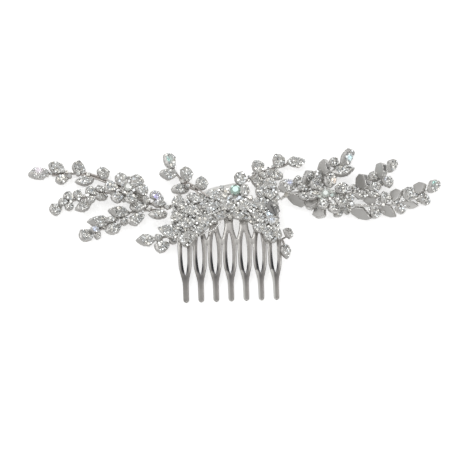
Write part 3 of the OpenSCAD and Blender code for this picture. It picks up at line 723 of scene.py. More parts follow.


# Painted coloured glints on the stones near a place, and stones tinted dark: place as seen, reach, colour
# and strength
glints = [
    (-77.9, 22.6, 1.5, (1.0, 0.91, 1.0), 1.0),
    (-31.1, 11.8, 1.3, (0.62, 0.58, 1.0), 0.8),
    (-55.2, -1.2, 1.1, (0.72, 0.80, 1.0), 1.0),
    (-26.1, 26.8, 1.0, (0.62, 0.95, 0.88), 1.0),
    (-3.0, 13.4, 0.8, (1.0, 0.90, 0.72), 0.9),
    (-2.3, 10.8, 0.8, (0.80, 0.90, 1.0), 0.8),
    (1.9, 11.0, 0.8, (0.80, 0.88, 1.0), 0.9),
    (14.1, 5.0, 1.1, (0.72, 0.88, 1.0), 1.0),
    (14.9, 2.4, 1.0, (0.80, 0.88, 1.0), 0.9),
    (39.9, 18.2, 0.9, (1.0, 0.82, 0.68), 1.0),
    (46.5, 27.4, 1.0, (0.66, 0.92, 1.0), 1.0),
    (22.3, 17.4, 0.9, (0.72, 0.76, 1.0), 0.9),
    (59.7, 18.6, 1.0, (0.76, 0.82, 1.0), 0.9),
    (79.7, 17.6, 1.0, (0.40, 0.72, 0.66), 0.5),
    (34.5, 11.2, 0.9, (0.80, 0.95, 0.86), 0.7),
    (39.3, 12.8, 0.9, (0.76, 0.98, 0.90), 0.9),
    (-66.3, 19.6, 0.7, (0.10, 0.10, 0.11), 0.0),
    (-62.3, 9.6, 0.6, (0.16, 0.16, 0.17), 0.0),
    (-44.3, 12.4, 0.6, (0.16, 0.16, 0.17), 0.0),
    (-13.3, 14.0, 0.7, (0.12, 0.12, 0.13), 0.0),
    (19.5, 10.8, 0.7, (0.20, 0.20, 0.21), 0.0),
    (33.3, 16.8, 0.9, (0.20, 0.20, 0.22), 0.0),
    (38.1, 6.0, 0.9, (0.28, 0.24, 0.25), 0.0),
    (54.9, 4.8, 0.9, (0.22, 0.22, 0.24), 0.0)]


def facet_bearings(form):
    """Bearing of each facet's middle round its stone."""
    points, corners, sizes = form
    starts = np.cumsum(sizes) - sizes
    middle = np.add.reduceat(points[corners], starts, axis=0) / sizes[:, None]
    return np.arctan2(middle[:, 1], middle[:, 0])


def stone_marks(form, centres):
    """Facet tones, fire and tints of copies of a stone. Each stone is painted bright towards one bearing
    and dark towards the other, some stones get a painted glowing flash on their bright side, some have
    painted black reflections on their dark side, and a stone close to a glint takes its painted coloured
    glint, or the dark tint given there."""
    faces, count = len(form[2]), len(centres)
    swing = np.cos(facet_bearings(form)[None] - rng.uniform(0, 2 * math.pi, (count, 1)))
    shared = rng.normal(0, stone_spread, (count, 1))
    seen = as_seen(centres)
    hard = seen[:, :1] > hard_light_from
    # Painted light: a stone is lighter towards one bearing and darker away from it
    tone = 0.5 + (facet_swing + swing_more * hard) * swing + shared
    facet = np.clip(tone + rng.uniform(-facet_spread, facet_spread, swing.shape), 0, 1)
    dark_side = swing < -0.45 + 0.2 * hard
    black = (rng.uniform(size=(count, 1)) < black_share + black_more * hard) & dark_side
    facet = np.where(black, 0.0, facet)
    # Painted flash: a glow on the bright side of some stones
    flash = (rng.uniform(size=(count, 1)) < flash_share + flash_more * hard) & (swing > 0.35)
    fire = flash * rng.uniform(0.5, 1.0, (count, 1))
    warm = rng.normal(0, 0.02, (count, 1))
    tint = np.array([[0.95, 0.955, 0.935]]) + warm * np.array([[1, 0.2, -1]])
    for across, up, reach, colour, strength in glints:
        near = np.exp(-((seen - [across, up]) ** 2).sum(1, keepdims=True) / reach ** 2)
        tint = tint + near * (np.array([colour]) - tint)
        facet = np.maximum(facet, near * strength * rng.uniform(0.5, 1.0, facet.shape))
        fire = np.maximum(fire, near * strength * (rng.uniform(size=fire.shape) < 0.6))
    colour = np.repeat(np.column_stack([np.clip(tint, 0, 1), np.ones(count)]), faces, 0)
    return [("facet", "FACE", "FLOAT", facet.ravel()), ("fire", "FACE", "FLOAT", fire.ravel()),
            ("tint", "FACE", "FLOAT_COLOR", colour)]


def stone_field(name, sets, replaces=()):
    """One piece of many brilliants, from rows of centres, axes and widths."""
    centres, axes, widths = (np.concatenate(column) for column in zip(*sets))
    make_piece(name, *copies(small_brilliant, centres, axes, widths), crystal, "crystal", False,
               stone_marks(small_brilliant, centres), replaces)


def metal_field(name, form, sets, metal=polished):
    """One piece of many copies of a small metal form."""
    centres, axes, widths = (np.concatenate(column) for column in zip(*sets))
    make_piece(name, *copies(form, centres, axes, widths), metal, "setting_metal", True)


def upright(n):
    """Axes of n upright forms."""
    return np.repeat(np.eye(3)[None], n, 0)


def claws_round(top, radius, count, first, width):
    """Claws on a circle round a stone."""
    t = bearings(count, first)
    ring = np.stack([np.cos(t), np.sin(t), np.zeros(count)], -1) * radius
    return top + ring, upright(count), np.full(count, width)


def dress_leaves(name, mine, metal):
    """Settings of some leaves."""
    form = joined([setting(leaf) for leaf in mine])
    make_piece(name, *form, metal, "setting_metal", True, setting_marks(mine))


def dress(stones_node):
    """Settings, stones and claws of one spray."""
    name = stones_node.replace("_stones", "")
    mine = [leaf for leaf in leaves if leaf.node == stones_node]
    round_cups = [cup for cup in cups if cup.node == stones_node]
    # The centre's settings take the paler plating: painted light that lifts the shade between them
    metal = lit_plating if name == "centre" else satin
    upright_leaves = [leaf for leaf in mine if name == "centre" and not leaf.faces_up]
    others = [leaf for leaf in mine if leaf not in upright_leaves]
    dress_leaves(name + "_settings", others, metal)
    if upright_leaves:
        dress_leaves(name + "_upright_leaf", upright_leaves, shaded_plating)
    stones = [leaf_stones(leaf) for leaf in mine]
    claws = [leaf_claws(leaf) for leaf in mine]
    if round_cups:
        tops = np.array([c.top + [0, 0, 0.25] for c in round_cups])
        widths = np.array([c.width - cup_stone_inset for c in round_cups])
        stones.append((tops, random_turns(len(tops), 0.06), widths))
        claws += [claws_round(c.top + [0, 0, 0.3], c.width / 2 - 0.05, 4, 0.6, 0.4) for c in round_cups]
    stone_field(name + "_pave", stones, [stones_node])
    metal_field(name + "_claws", small_bead, claws)


for stones_node in stone_nodes:
    dress(stones_node)


# Main stones

def main_stone(node_name, prongs, core, side, glow):
    """Large brilliant that fills the box of its solid, with prongs round it. Its table is painted with a
    glowing flash in the core's tint, and its other facets get deeper painted tones in the side's tint, a
    few of them with a painted flash in the core's."""
    low, high = box_of(node_name)
    width = high[0] - low[0]
    centre = np.array([[*((low + high) / 2)[:2], low[2] + 0.1 * width + 0.1]])
    faces = len(small_brilliant[2])
    table = np.arange(faces) == 0
    facet = np.where(table, 1.0, rng.uniform(0.05, 0.85, faces))
    flash = rng.uniform(size=faces) < 0.08
    fire = glow * np.where(table, 1.0, 0.7 * flash)
    tint = np.where((table | flash)[:, None], core, side)
    marks = [("facet", "FACE", "FLOAT", facet), ("fire", "FACE", "FLOAT", fire),
             ("tint", "FACE", "FLOAT_COLOR", np.column_stack([tint, np.ones(faces)]))]
    make_piece(node_name + "_cut", *copies(small_brilliant, centre, upright(1), np.array([width])),
               crystal, "crystal", False, marks, [node_name])
    metal_field(node_name + "_prongs", small_bead, [claws_round(centre[0] + [0, 0, 0.12], width * 0.47,
                                                                prongs, 0.3, 0.6)])


main_stone("centre_stone", 8, (0.74, 0.98, 0.91), (0.54, 0.70, 0.62), 0.6)
main_stone("left_flower_stone", 6, (0.95, 0.96, 0.94), (0.86, 0.88, 0.84), 0.4)
main_stone("right_flower_stone", 6, (0.92, 0.97, 0.94), (0.80, 0.86, 0.80), 0.4)


# Small stones in collets between the leaves of the centre

# Height of the plate's top face, the band along its upper edge that stays plain, the grid of places
# tried, the stones' least pitch and their size, and the clear space round rims, cups and main stone
plate_top = 5.3
plain_band = 1.9
filler_grid = 0.42
filler_pitch = 0.98
filler_stone = 1.14
rim_room = 0.12
cup_room = 0.2
main_stone_room = 2.6


def plate_triangles():
    """Triangles of the plate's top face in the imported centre, seen from above."""
    co, tri = packed_triangles("centre_spray")
    corner = co[tri]
    level = np.abs(corner[:, :, 2] - plate_top).max(1) < 0.02
    return corner[level][:, :, :2]


def rim_and_fan(leaf):
    """Rim of a leaf, and the flat triangles between its middle and the rim."""
    rim = leaf.place(np.column_stack([leaf_edge(leaf, turns), np.full(leaf_turns, 0.3)]))
    flat = rim[:, :2]
    fan = np.stack([np.repeat(leaf.middle[None, :2], leaf_turns, 0), flat, np.roll(flat, -1, 0)], 1)
    return rim, fan


def within(points, triangles):
    """Whether each flat point lies in one of the triangles: it is on one side of all three edges."""
    edge = np.roll(triangles, -1, 1) - triangles
    away = points[:, None, None] - triangles[None]
    side = edge[None, ..., 0] * away[..., 1] - edge[None, ..., 1] * away[..., 0]
    return ((side >= -1e-9).all(2) | (side <= 1e-9).all(2)).any(1)


def plate_fillers():
    """Places of small stones on the plate, in the gaps between the leaves and the round cups. Of a fine
    grid of places the clearest are taken first, each a pitch away from those taken before. A stone
    stands about as high as the nearest rim of a leaf."""
    low, high = box_of("centre_spray")
    x, y = np.meshgrid(np.arange(low[0], high[0], filler_grid), np.arange(low[1], high[1], filler_grid))
    spots = np.stack([x, y], -1).reshape(-1, 2) + rng.uniform(-0.1, 0.1, (x.size, 2))
    plate = plate_triangles()
    spots = spots[within(spots, plate) & within(spots + [0, plain_band], plate)]
    keep = np.full(len(spots), True)
    nearest = np.full(len(spots), np.inf)
    height = np.full(len(spots), plate_top + 1.0)
    for leaf in leaves:
        rim, fan = rim_and_fan(leaf)
        beside = (rim[:, :2].max(0) > low[:2]).all() and (rim[:, :2].min(0) < high[:2]).all()
        if beside and rim[:, 2].max() > plate_top:
            away = np.linalg.norm(spots[:, None] - rim[None, :, :2], axis=-1)
            keep &= ~((away.min(1) < rim_room) | within(spots, fan))
            height = np.where(away.min(1) < nearest, rim[away.argmin(1), 2], height)
            nearest = np.minimum(nearest, away.min(1))
    for cup in cups:
        keep &= np.linalg.norm(spots - cup.top[:2], axis=1) > cup.width / 2 + cup_room
    box = box_of("centre_stone")
    keep &= np.linalg.norm(spots - (box[0] + box[1])[:2] / 2, axis=1) > main_stone_room
    height = np.clip(height + rng.uniform(-0.4, 0.15, len(spots)), plate_top + 0.8, plate_top + 2.8)
    seats_free = np.column_stack([spots, height])[keep]
    clear = np.minimum(nearest[keep], filler_stone / 2) + rng.uniform(0, 0.05, keep.sum())
    taken = np.empty((0, 3))
    for seat in seats_free[np.argsort(-clear)]:
        if (np.linalg.norm(taken[:, :2] - seat[:2], axis=1) > filler_pitch).all():
            taken = np.vstack([taken, seat])
    return taken


def fill_plate():
    """Stones, collets and claws between the centre's leaves."""
    seat = plate_fillers()
    n = len(seat)
    widths = rng.uniform(0.9, 1.1, n) * filler_stone
    stone_field("centre_filler_stones", [(seat, random_turns(n, 0.2), widths)])
    # The collets take the paler plating: painted light that lifts the shade between the centre's leaves
    metal_field("centre_collets", tall_collet, [(seat, upright(n), widths)], lit_plating)


fill_plate()


def leaf_back(name, seen, height, heading, length, width):
    """Plain leaf that lies face down on the others, with its back at a place as seen."""
    place = laid(*seen, height)
    along = np.array([math.cos(heading), math.sin(heading), 0.0])
    out = np.array([0.0, 0.0, -1.0])
    axes = np.array([along, np.cross(out, along), out])
    leaf = Leaf("centre_stones", place - [0, 0, lid_height], axes, length, width, MARQUISE)
    make_piece(name, *setting(leaf), shaded_plating, "setting_metal", True, setting_marks([leaf]))


leaf_back("centre_leaf_back", (15.5, 7.5), 8.3, math.radians(-68), 6.2, 4.7)


# Stems: places as seen with their height, and the stretches that carry small stones. The stretches
# between those show two wires. The right wing's stems are set more than one stone wide

stems = {
    "upper_left": ([(-42.8, 14.4, 3.4), (-48.3, 16.6, 3.0), (-53.5, 18.8, 2.4), (-60.3, 20.8, 1.8),
                    (-65.7, 20.9, 1.4), (-71.1, 20.6, 1.1), (-74.6, 20.7, 1.1)],
                   [(0.62, 0.80), (0.95, 1.0)]),
    "middle_left": ([(-43.1, 13.0, 3.4), (-48.7, 13.3, 3.0), (-54.3, 12.6, 2.4), (-59.9, 11.2, 1.7),
                     (-65.1, 9.8, 0.9), (-68.4, 8.4, 0.9)], [(0.1, 1.0)]),
    "lower_left": ([(-30.4, 6.4, 3.4), (-35.5, 6.2, 3.0), (-39.5, 5.6, 2.4), (-45.3, 3.4, 1.6),
                    (-52.0, -0.8, 0.8), (-55.6, -2.4, 0.8)], [(0.0, 0.3), (0.5, 1.0)]),
    "left_branch": ([(-25.0, 7.2, 4.6), (-27.5, 7.3, 4.2), (-33.0, 8.6, 3.8), (-38.0, 10.6, 3.5),
                     (-41.8, 13.4, 3.4)], [(0.0, 0.25), (0.55, 1.0)]),
    "comb_left": ([(-25.0, -3.8, 3.4), (-27.5, -4.4, 2.2), (-30.6, -5.0, 1.0)], [(0.0, 1.0)]),
    "upper": ([(-14.2, 14.2, 4.5), (-16.9, 15.2, 4.1), (-20.3, 17.6, 3.2), (-22.5, 20.4, 2.4)],
              [(0.8, 1.0)]),
    "upper_right": ([(3.9, 17.3, 4.5), (8.5, 20.3, 3.7), (14.5, 22.7, 2.6), (19.9, 24.0, 1.7)],
                    [(0.0, 1.0)]),
    "right_branch": ([(18.6, 10.6, 4.5), (22.5, 12.8, 3.9), (29.7, 13.6, 3.0), (33.4, 15.6, 2.4),
                      (36.4, 18.8, 1.5), (40.2, 22.6, 1.0)], [(0.5, 1.0)]),
    "right_middle": ([(43.8, 12.6, 3.4), (47.7, 13.4, 2.6), (51.5, 14.8, 1.7), (55.5, 17.2, 1.2),
                      (58.9, 19.2, 1.1)], [(0.0, 1.0)]),
    "right_lower": ([(42.8, 9.6, 3.4), (47.0, 8.4, 3.4), (52.0, 8.0, 3.2), (57.3, 7.9, 3.0),
                     (63.3, 8.4, 2.8), (68.5, 9.8, 2.5), (74.0, 12.4, 1.9)], [(0.35, 1.0)])}
stem_points = 200
stem_stone = 1.1
stem_pitch = 1.0
# How far the small stones stand beside a stem's middle and over it, and the further rows on broad stems
stem_aside, stem_rise = 0.62, 0.55
broad_asides, broad_rise = (-1.65, 1.65, -2.7, 2.7), 0.3
# Clear space that a small stone keeps to a leaf's rim and to a cup, and how near in height both count
stem_rim_room, stem_cup_room, near_level = 0.25, 0.35, 2.2
broad_stems = {"right_branch": [(0.5, 1.0)], "right_middle": [(0.0, 1.0)], "right_lower": [(0.35, 1.0)]}


def smooth_route(points, count):
    """Points at even steps along the Catmull-Rom curve through a route."""
    p = np.concatenate([points[:1], points, points[-1:]])
    t = np.linspace(0, 1, 9)[:-1, None]
    parts = []
    for a, b, c, d in zip(p[:-3], p[1:-2], p[2:-1], p[3:]):
        parts.append(0.5 * (2 * b + (c - a) * t + (2 * a - 5 * b + 4 * c - d) * t ** 2
                            + (3 * b - a - 3 * c + d) * t ** 3))
    curve = np.concatenate([*parts, p[-1:]])
    run = run_along(curve)
    return points_at(np.linspace(0, run[-1], count), run, curve)


def stones_along(rows, stretches, aside, rise):
    """Places of small stones to the left and right of a stem by turns, on its covered stretches."""
    route = smooth_route(np.array([laid(*row) for row in rows]), stem_points)
    seats_here = []
    for first, last in stretches:
        part = route[int(first * (stem_points - 1)):int(last * (stem_points - 1)) + 1]
        count = max(2, round(route_length(part) / stem_pitch))
        middle = points_at(np.linspace(0, len(part) - 1, count), np.arange(len(part)), part)
        side = sideways(middle)
        turn = np.where(np.arange(count) % 2, 1.0, -1.0)[:, None]
        shake = rng.uniform(-0.12, 0.12, (count, 3))
        seats_here.append(middle + side * turn * aside + [0, 0, rise] + shake)
    return np.concatenate(seats_here)


def clear_of_leaves(spots):
    """Whether a small stone's place is outside all the leaves and cups that reach as high as it."""
    keep = np.full(len(spots), True)
    for leaf in leaves:
        rim, fan = rim_and_fan(leaf)
        close = np.linalg.norm(spots[:, None, :2] - rim[None, :, :2], axis=-1).min(1) < stem_rim_room
        level = np.abs(spots[:, 2] - leaf.middle[2]) < near_level
        keep &= ~((close | within(spots[:, :2], fan)) & level)
    for cup in cups:
        keep &= np.linalg.norm(spots[:, :2] - cup.top[:2], axis=1) > cup.width / 2 + stem_cup_room
    return keep


def dress_stem(name, rows, stretches):
    """Small stones in collets along a stem."""
    seat = stones_along(rows, stretches, stem_aside, stem_rise)
    if name in broad_stems:
        outer = [stones_along(rows, broad_stems[name], aside, broad_rise) for aside in broad_asides]
        seat = np.concatenate([seat, *outer])
    seat = seat[clear_of_leaves(seat)]
    if len(seat):
        n = len(seat)
        widths = rng.uniform(0.88, 1.08, n) * stem_stone
        stone_field(name + "_stem_stones", [(seat, random_turns(n, 0.2), widths)])
        metal_field(name + "_stem_collets", collet, [(seat, upright(n), widths)])


# Thickness of a bare stretch's two wires, and their distance from its middle
stem_wires = {"upper_left": (0.74, 0.62), "upper": (0.66, 0.5)}
thin_wires = (0.34, 0.42)
wire_rise = 0.4


def wire(route, d):
    """Round wire along a route, closed at both ends."""
    ahead = unit(np.gradient(route, axis=0))
    side = unit(np.cross(ahead, [0, 0, 1]))
    over = np.cross(side, ahead)
    t = bearings(8)
    circle = np.cos(t)[:, None] * side[:, None] + np.sin(t)[:, None] * over[:, None]
    return rings_closed(route[:, None] + d / 2 * circle, route[0], route[-1])


def bare_stretches(stretches):
    """Stretches of a stem that carry no stones, between its two ends."""
    ends = [0.0, *(value for stretch in stretches for value in stretch), 1.0]
    return [(a, b) for a, b in zip(ends[::2], ends[1::2]) if b - a > 0.1]


def wire_stem(name, rows, stretches):
    """Two wires on top of each bare stretch of a stem."""
    route = smooth_route(np.array([laid(*row) for row in rows]), stem_points)
    d, aside = stem_wires.get(name, thin_wires)
    parts = []
    for first, last in bare_stretches(stretches):
        part = route[int(first * (stem_points - 1)):int(last * (stem_points - 1)) + 1:4]
        side = sideways(part)
        parts += [wire(part + side * offset + [0, 0, wire_rise], d) for offset in (-aside, aside)]
    if parts:
        metal = brown_plating if name in stem_wires else wire_plating
        make_piece(name + "_stem_wires", *joined(parts), metal, "setting_metal", True)


for name, (rows, stretches) in stems.items():
    dress_stem(name, rows, stretches)
    wire_stem(name, rows, stretches)


def height_over(seen):
    """Height of the uppermost leaf's stones at a place as seen: the place is carried into each leaf's
    own plane, and counts where it falls within the leaf."""
    heights = [0.5]
    for leaf in leaves:
        level = leaf.place(np.array([[0, 0, 0.8], [1, 0, 0.8], [0, 1, 0.8]]))
        flat = as_seen(level)
        share = np.linalg.solve((flat[1:] - flat[0]).T, np.array(seen) - flat[0])
        if ((share / [leaf.length / 2, leaf.width / 2]) ** 2).sum() < 1:
            heights.append((level[0] + share @ (level[1:] - level[0]))[2])
    return max(heights)


# Wires on top: name, metal, thickness and places as seen, with their height where they lie on no leaf
upper_wires = [
    ("centre_rim", satin, 1.5, [
        [(-12.9, 12.4, 4.3), (-10.5, 13.7, 4.4), (-7.4, 14.8, 4.5), (-4.3, 15.5, 4.6), (-1.5, 16.1, 4.6),
         (0.2, 16.4, 4.5)]]),
    ("right_branch", wire_plating, 0.6, [
        [(17.9, 13.7, 5.5), (21.0, 13.5, 5.5), (24.8, 13.0, 5.4), (28.4, 13.2, 5.2)]]),
    ("upper_foot", brown_plating, 0.66, [
        [(-18.8, 17.6, 4.4), (-16.2, 16.2, 5.6), (-13.0, 13.8, 7.4), (-10.0, 11.5)],
        [(-19.5, 16.7, 4.4), (-17.0, 15.3, 5.6), (-13.8, 12.9, 7.4), (-10.8, 10.6)]]),
    ("binding", wire_plating, 0.62, [
        [(-14.6, -4.5, 5.9), (-11.9, -2.9, 6.2), (-8.1, -1.5, 6.3), (-5.7, 1.0, 6.4), (-4.7, 3.3, 6.5),
         (-1.5, 4.2, 6.6), (2.5, 3.5, 6.5)],
        [(-19.2, -6.3, 5.9), (-18.0, -7.6, 5.9), (-16.5, -6.4, 6.0)]]),
    ("right_flower", wire_plating, 0.56, [
        [(27.0, 14.6), (28.6, 15.3), (30.2, 16.2)],
        [(30.0, 11.6), (31.5, 11.3), (33.1, 11.6), (34.7, 11.1), (35.0, 10.5)],
        [(33.1, 8.8), (34.0, 8.0), (35.6, 7.7), (36.9, 8.2), (37.9, 9.2)],
        [(34.4, 14.4), (35.6, 13.6), (36.6, 12.0)]])]


def wire_route(rows):
    """Places of a wire in the comb's frame."""
    return np.array([laid(*row) if len(row) == 3 else laid(*row, height_over(row) + wire_rise)
                     for row in rows])


for name, metal, d, routes in upper_wires:
    form = joined([wire(smooth_route(wire_route(rows), 24), d) for rows in routes])
    make_piece(name + "_wires", *form, metal, "setting_metal", True)


# Rosettes round the flowers' main stones

rosette_radius, rosette_stone, rosette_sink = 2.55, 1.45, 0.25


def rosette(name, hub_node, count, first):
    """Ring of small stones in collets round a flower's hub."""
    low, high = box_of(hub_node)
    middle = (low + high) / 2
    t = bearings(count, first)
    seat = np.stack([middle[0] + rosette_radius * np.cos(t), middle[1] + rosette_radius * np.sin(t),
                     np.full(count, low[2] - rosette_sink)], -1)
    widths = np.full(count, rosette_stone)
    stone_field(name + "_rosette_stones", [(seat, random_turns(count, 0.12), widths)])
    metal_field(name + "_rosette_collets", collet, [(seat, upright(count), widths)])


rosette("left_flower", "left_flower_stone", 10, 0.2)
rosette("right_flower", "right_flower_stone", 10, 0.4)


# Comb

# Sizes as the part's source has them, and how far in the sheet's edges are rounded
tooth_count, tooth_pitch, comb_length, comb_sheet = 7, 5.93, 42.0, 1.0
bar_width, slot_width, gap_width, gap_peak = 2.3, 2.0, 2.5, 0.77
junction, slot_end, merge, petal_low, petal_high, bend, full = 10.9, 27.8, 22.6, 25.2, 34.6, 6.5, 15.5
comb_curve, tip_slope, comb_turn = 110.0, math.radians(14.2), math.radians(2)
corner_r, spine_draw = 4.0, 1.6
leg_spread, leg_close = 0.255, 0.15
edge_round = 0.75


def ease(t):
    """Smooth step from 0 to 1."""
    s = np.clip(t, 0, 1)
    return s * s * (3 - 2 * s)


def tooth_half(y):
    """Half width of a tooth at a distance from its tip: a bar that widens into two legs, and a round
    tip."""
    tip = np.clip(1 - y / (bar_width / 2), 0, 1)
    bar = bar_width / 2 * np.sqrt(1 - tip ** 2)
    legs = leg_spread * tooth_pitch * ease((y - bend) / (full - bend))
    return bar + legs + leg_close * ease((y - full) / (merge - full))


def hole_half(y, low, high, form):
    """Half width of a hole that runs from low to high: a function of its turn from end to end."""
    turn = np.arccos(np.clip(1 - 2 * (y - low) / (high - low), -1, 1))
    return form(turn)


def slot_half(y):
    """Half width of the slot between a tooth's legs, pointed at both ends."""
    return hole_half(y, junction, slot_end, lambda t: slot_width / 2 * np.abs(np.sin(t)) ** 1.4)


def petal_half(y):
    """Half width of the gap between two teeth in the upper half, pointed below and round above."""
    return hole_half(y, petal_low, petal_high,
                     lambda t: gap_width / 2 * np.abs(np.sin(t)) * np.sin(t / 2) / gap_peak)


def comb_rows():
    """Distances from the tips at which the comb is cut across, closer together where it turns."""
    even = np.linspace(0, comb_length, 100)
    arcs = [(0, bar_width, 12), (junction, slot_end, 44), (petal_low, petal_high, 28)]
    bows = [low + (high - low) / 2 * (1 - np.cos(np.linspace(0, math.pi, n))) for low, high, n in arcs]
    corner = comb_length - corner_r * (1 - np.sin(np.linspace(0, math.pi / 2, 12)))
    closing = merge - leg_close * np.linspace(0, 1, 4)
    rows = np.unique(np.concatenate([even, *bows, corner, closing]).round(4))
    fixed = np.isin(rows, np.round([0, junction, slot_end, petal_low, petal_high, merge, comb_length], 4))
    return rows[np.append(np.diff(rows) > 0.03, True) | fixed]


def comb_strip(rows, outermost):
    """Half of one tooth and of the spine above it, from its middle line outwards: distances across,
    and half thicknesses. The sheet thins to nothing at its edges, round over edge_round."""
    share = (1 - np.cos(np.linspace(0, math.pi, 10))) / 2
    inner = slot_half(rows)
    closing = np.clip((rows - (merge - leg_close)) / leg_close, 0, 1)
    gap = tooth_pitch / 2 - tooth_half(np.minimum(rows, merge))
    outer = tooth_half(np.minimum(rows, merge))
    if outermost:
        shoulder = comb_length - corner_r
        lost = np.clip((rows - shoulder) / corner_r, 0, 1)
        outer = outer - corner_r * (1 - np.sqrt(1 - lost ** 2))
        outer = outer - spine_draw * np.clip((rows - merge) / (shoulder - merge), 0, 1)
        outer_open = np.full(len(rows), True)
    else:
        outer = np.where(rows < merge, tooth_pitch / 2 - gap * np.sqrt(1 - closing ** 2),
                         tooth_pitch / 2 - petal_half(rows))
        outer_open = (rows <= merge) | ((rows >= petal_low) & (rows <= petal_high))
    inner_open = (rows >= junction) & (rows <= slot_end)
    across = inner[:, None] + (outer - inner)[:, None] * share
    grid = np.stack([across, np.repeat(rows[:, None], len(share), 1)], -1)
    far = np.full(across.shape, edge_round * 2)
    for edge, is_open in ((grid[:, 0], inner_open), (grid[:, -1], outer_open)):
        for a, b in runs(is_open):
            far = np.minimum(far, distance_to_line(grid, edge[a:b]))
    far = np.minimum(far, comb_length - grid[..., 1])
    near = np.clip(far / edge_round, 0, 1)
    return grid, comb_sheet / 2 * np.sqrt(1 - (1 - near) ** 2)


def comb_shade(grid, side, tooth):
    """Painted light and shade of half a tooth, 0.5 where none is painted: painted dark reflections up the
    inner edges of its legs and at the fork, a painted light streak along each leg, a painted pale left
    edge on the bars and legs, more so on the right-hand teeth, painted darker bars and lower leg edges,
    and painted light that lifts the shade under the decoration."""
    y = grid[..., 1]
    inner, outer = grid[:, :1, 0], grid[:, -1:, 0]
    share = (grid[..., 0] - inner) / (outer - inner)
    rise = y - junction
    reach, high, strength = (0.58, 9.5, 0.84) if side < 0 else (0.32, 4.5, 0.62)
    along = np.clip(rise / 1.6, 0, 1) * np.clip((high - rise) / (0.45 * high), 0, 1)
    dark = strength * np.clip(1.35 - share / reach, 0, 1) * along
    fork = 0.14 * np.exp(-((rise + 1.2) / 1.6) ** 2) * np.clip(1.2 - share / 0.6, 0, 1)
    low_edge = (0.06 if side < 0 else 0.10) * (rise > 0) * np.clip(1.6 - share / 0.4, 0, 1)
    streak = 0.11 * np.exp(-((share - 0.74) / 0.2) ** 2) * np.clip(rise / 3, 0, 1) * (y < merge + 4)
    bar = 0.10 * np.clip(1 - np.abs(rise + 1.5) / 5, 0, 1) + 0.03 * (rise < 0)
    if side < 0:
        pale = 0.30 * tooth / (tooth_count - 1) * np.clip((share - 0.3) / 0.2, 0, 1) * (rise < 1)
    else:
        pale = 0.16 * tooth / (tooth_count - 1) * np.clip(1.3 - share / 0.25, 0, 1)
        pale = pale * np.clip(rise / 5, 0, 1)
    # Painted light that lifts the shade under the decoration
    under = 0.14 * np.clip((y - merge - 3) / 6, 0, 1)
    return np.clip(0.5 + streak + pale + under - bar - low_edge - 0.5 * np.maximum(dark, fork), 0, 1)


def runs(is_open):
    """Start and end of each unbroken run of true values."""
    step = np.flatnonzero(np.diff(np.concatenate([[False], is_open, [False]]).astype(int)))
    return list(zip(step[::2], step[1::2]))


def distance_to_line(grid, line):
    """Distance from each grid point to the nearest stretch of a line of points."""
    if len(line) < 2:
        return np.linalg.norm(grid - line[0], axis=-1)
    a, b = line[:-1], line[1:]
    run = b - a
    away = grid[:, :, None] - a
    t = np.clip((away * run).sum(-1) / np.maximum((run ** 2).sum(-1), 1e-12), 0, 1)
    return np.linalg.norm(away - t[..., None] * run, axis=-1).min(-1)


def comb_piece():
    """Comb as a curved sheet with rounded edges: strips for the halves of the teeth, each with an upper
    and a lower face that meet at its edges. Strips share the points where they touch."""
    rows = comb_rows()
    points, faces, shades = [], [], []
    start = 0
    for i in range(tooth_count):
        middle = (i - (tooth_count - 1) / 2) * tooth_pitch
        for side in (-1, 1):
            outermost = i == (0 if side < 0 else tooth_count - 1)
            grid, half = comb_strip(rows, outermost)
            n, m = half.shape
            high = (comb_sheet / 2 - comb_curve * math.cos(tip_slope)
                    + np.sqrt(comb_curve ** 2 - (grid[..., 1] - comb_curve * math.sin(tip_slope)) ** 2))
            r, c = np.meshgrid(np.arange(n - 1), np.arange(m - 1), indexing="ij")
            corner = r * m + c
            quad = np.stack([corner, corner + 1, corner + m + 1, corner + m], -1).reshape(-1, 4)
            for level in (1, -1):
                shades.append(comb_shade(grid, side, i).ravel())
                points.append(np.stack([middle + side * grid[..., 0], grid[..., 1],
                                        high + level * half], -1).reshape(-1, 3))
                faces.append((quad if side * level > 0 else quad[:, ::-1]) + start)
                start += n * m
    points = np.concatenate(points)
    faces = np.concatenate(faces)
    points, first, same = np.unique(points.round(4), axis=0, return_index=True, return_inverse=True)
    faces = same.reshape(-1)[faces]
    marks = [("shade", "POINT", "FLOAT", np.concatenate(shades)[first])]
    cos, sin = math.cos(comb_turn), math.sin(comb_turn)
    points = points @ np.array([[cos, sin, 0], [-sin, cos, 0], [0, 0, 1]]) + laid(-0.95, -29.9, 0)
    ahead = np.roll(faces, -1, 1)
    real = faces != ahead
    used = real.sum(1) > 2
    return (points, faces[used][real[used]], real[used].sum(1)), marks


comb_form, comb_marks = comb_piece()
make_piece("comb_sheet", *comb_form, comb_finish, "comb_metal", True, comb_marks, ["comb"])

# The centre's plate and the right-hand parts take the paler plating: painted light that lifts their shade
for name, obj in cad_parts.items():
    if "stone" not in name:
        pale = name == "centre_spray" or name.startswith("right")
        obj.data.materials[0] = lit_plating if pale else stem_plating


# Table, lights and camera

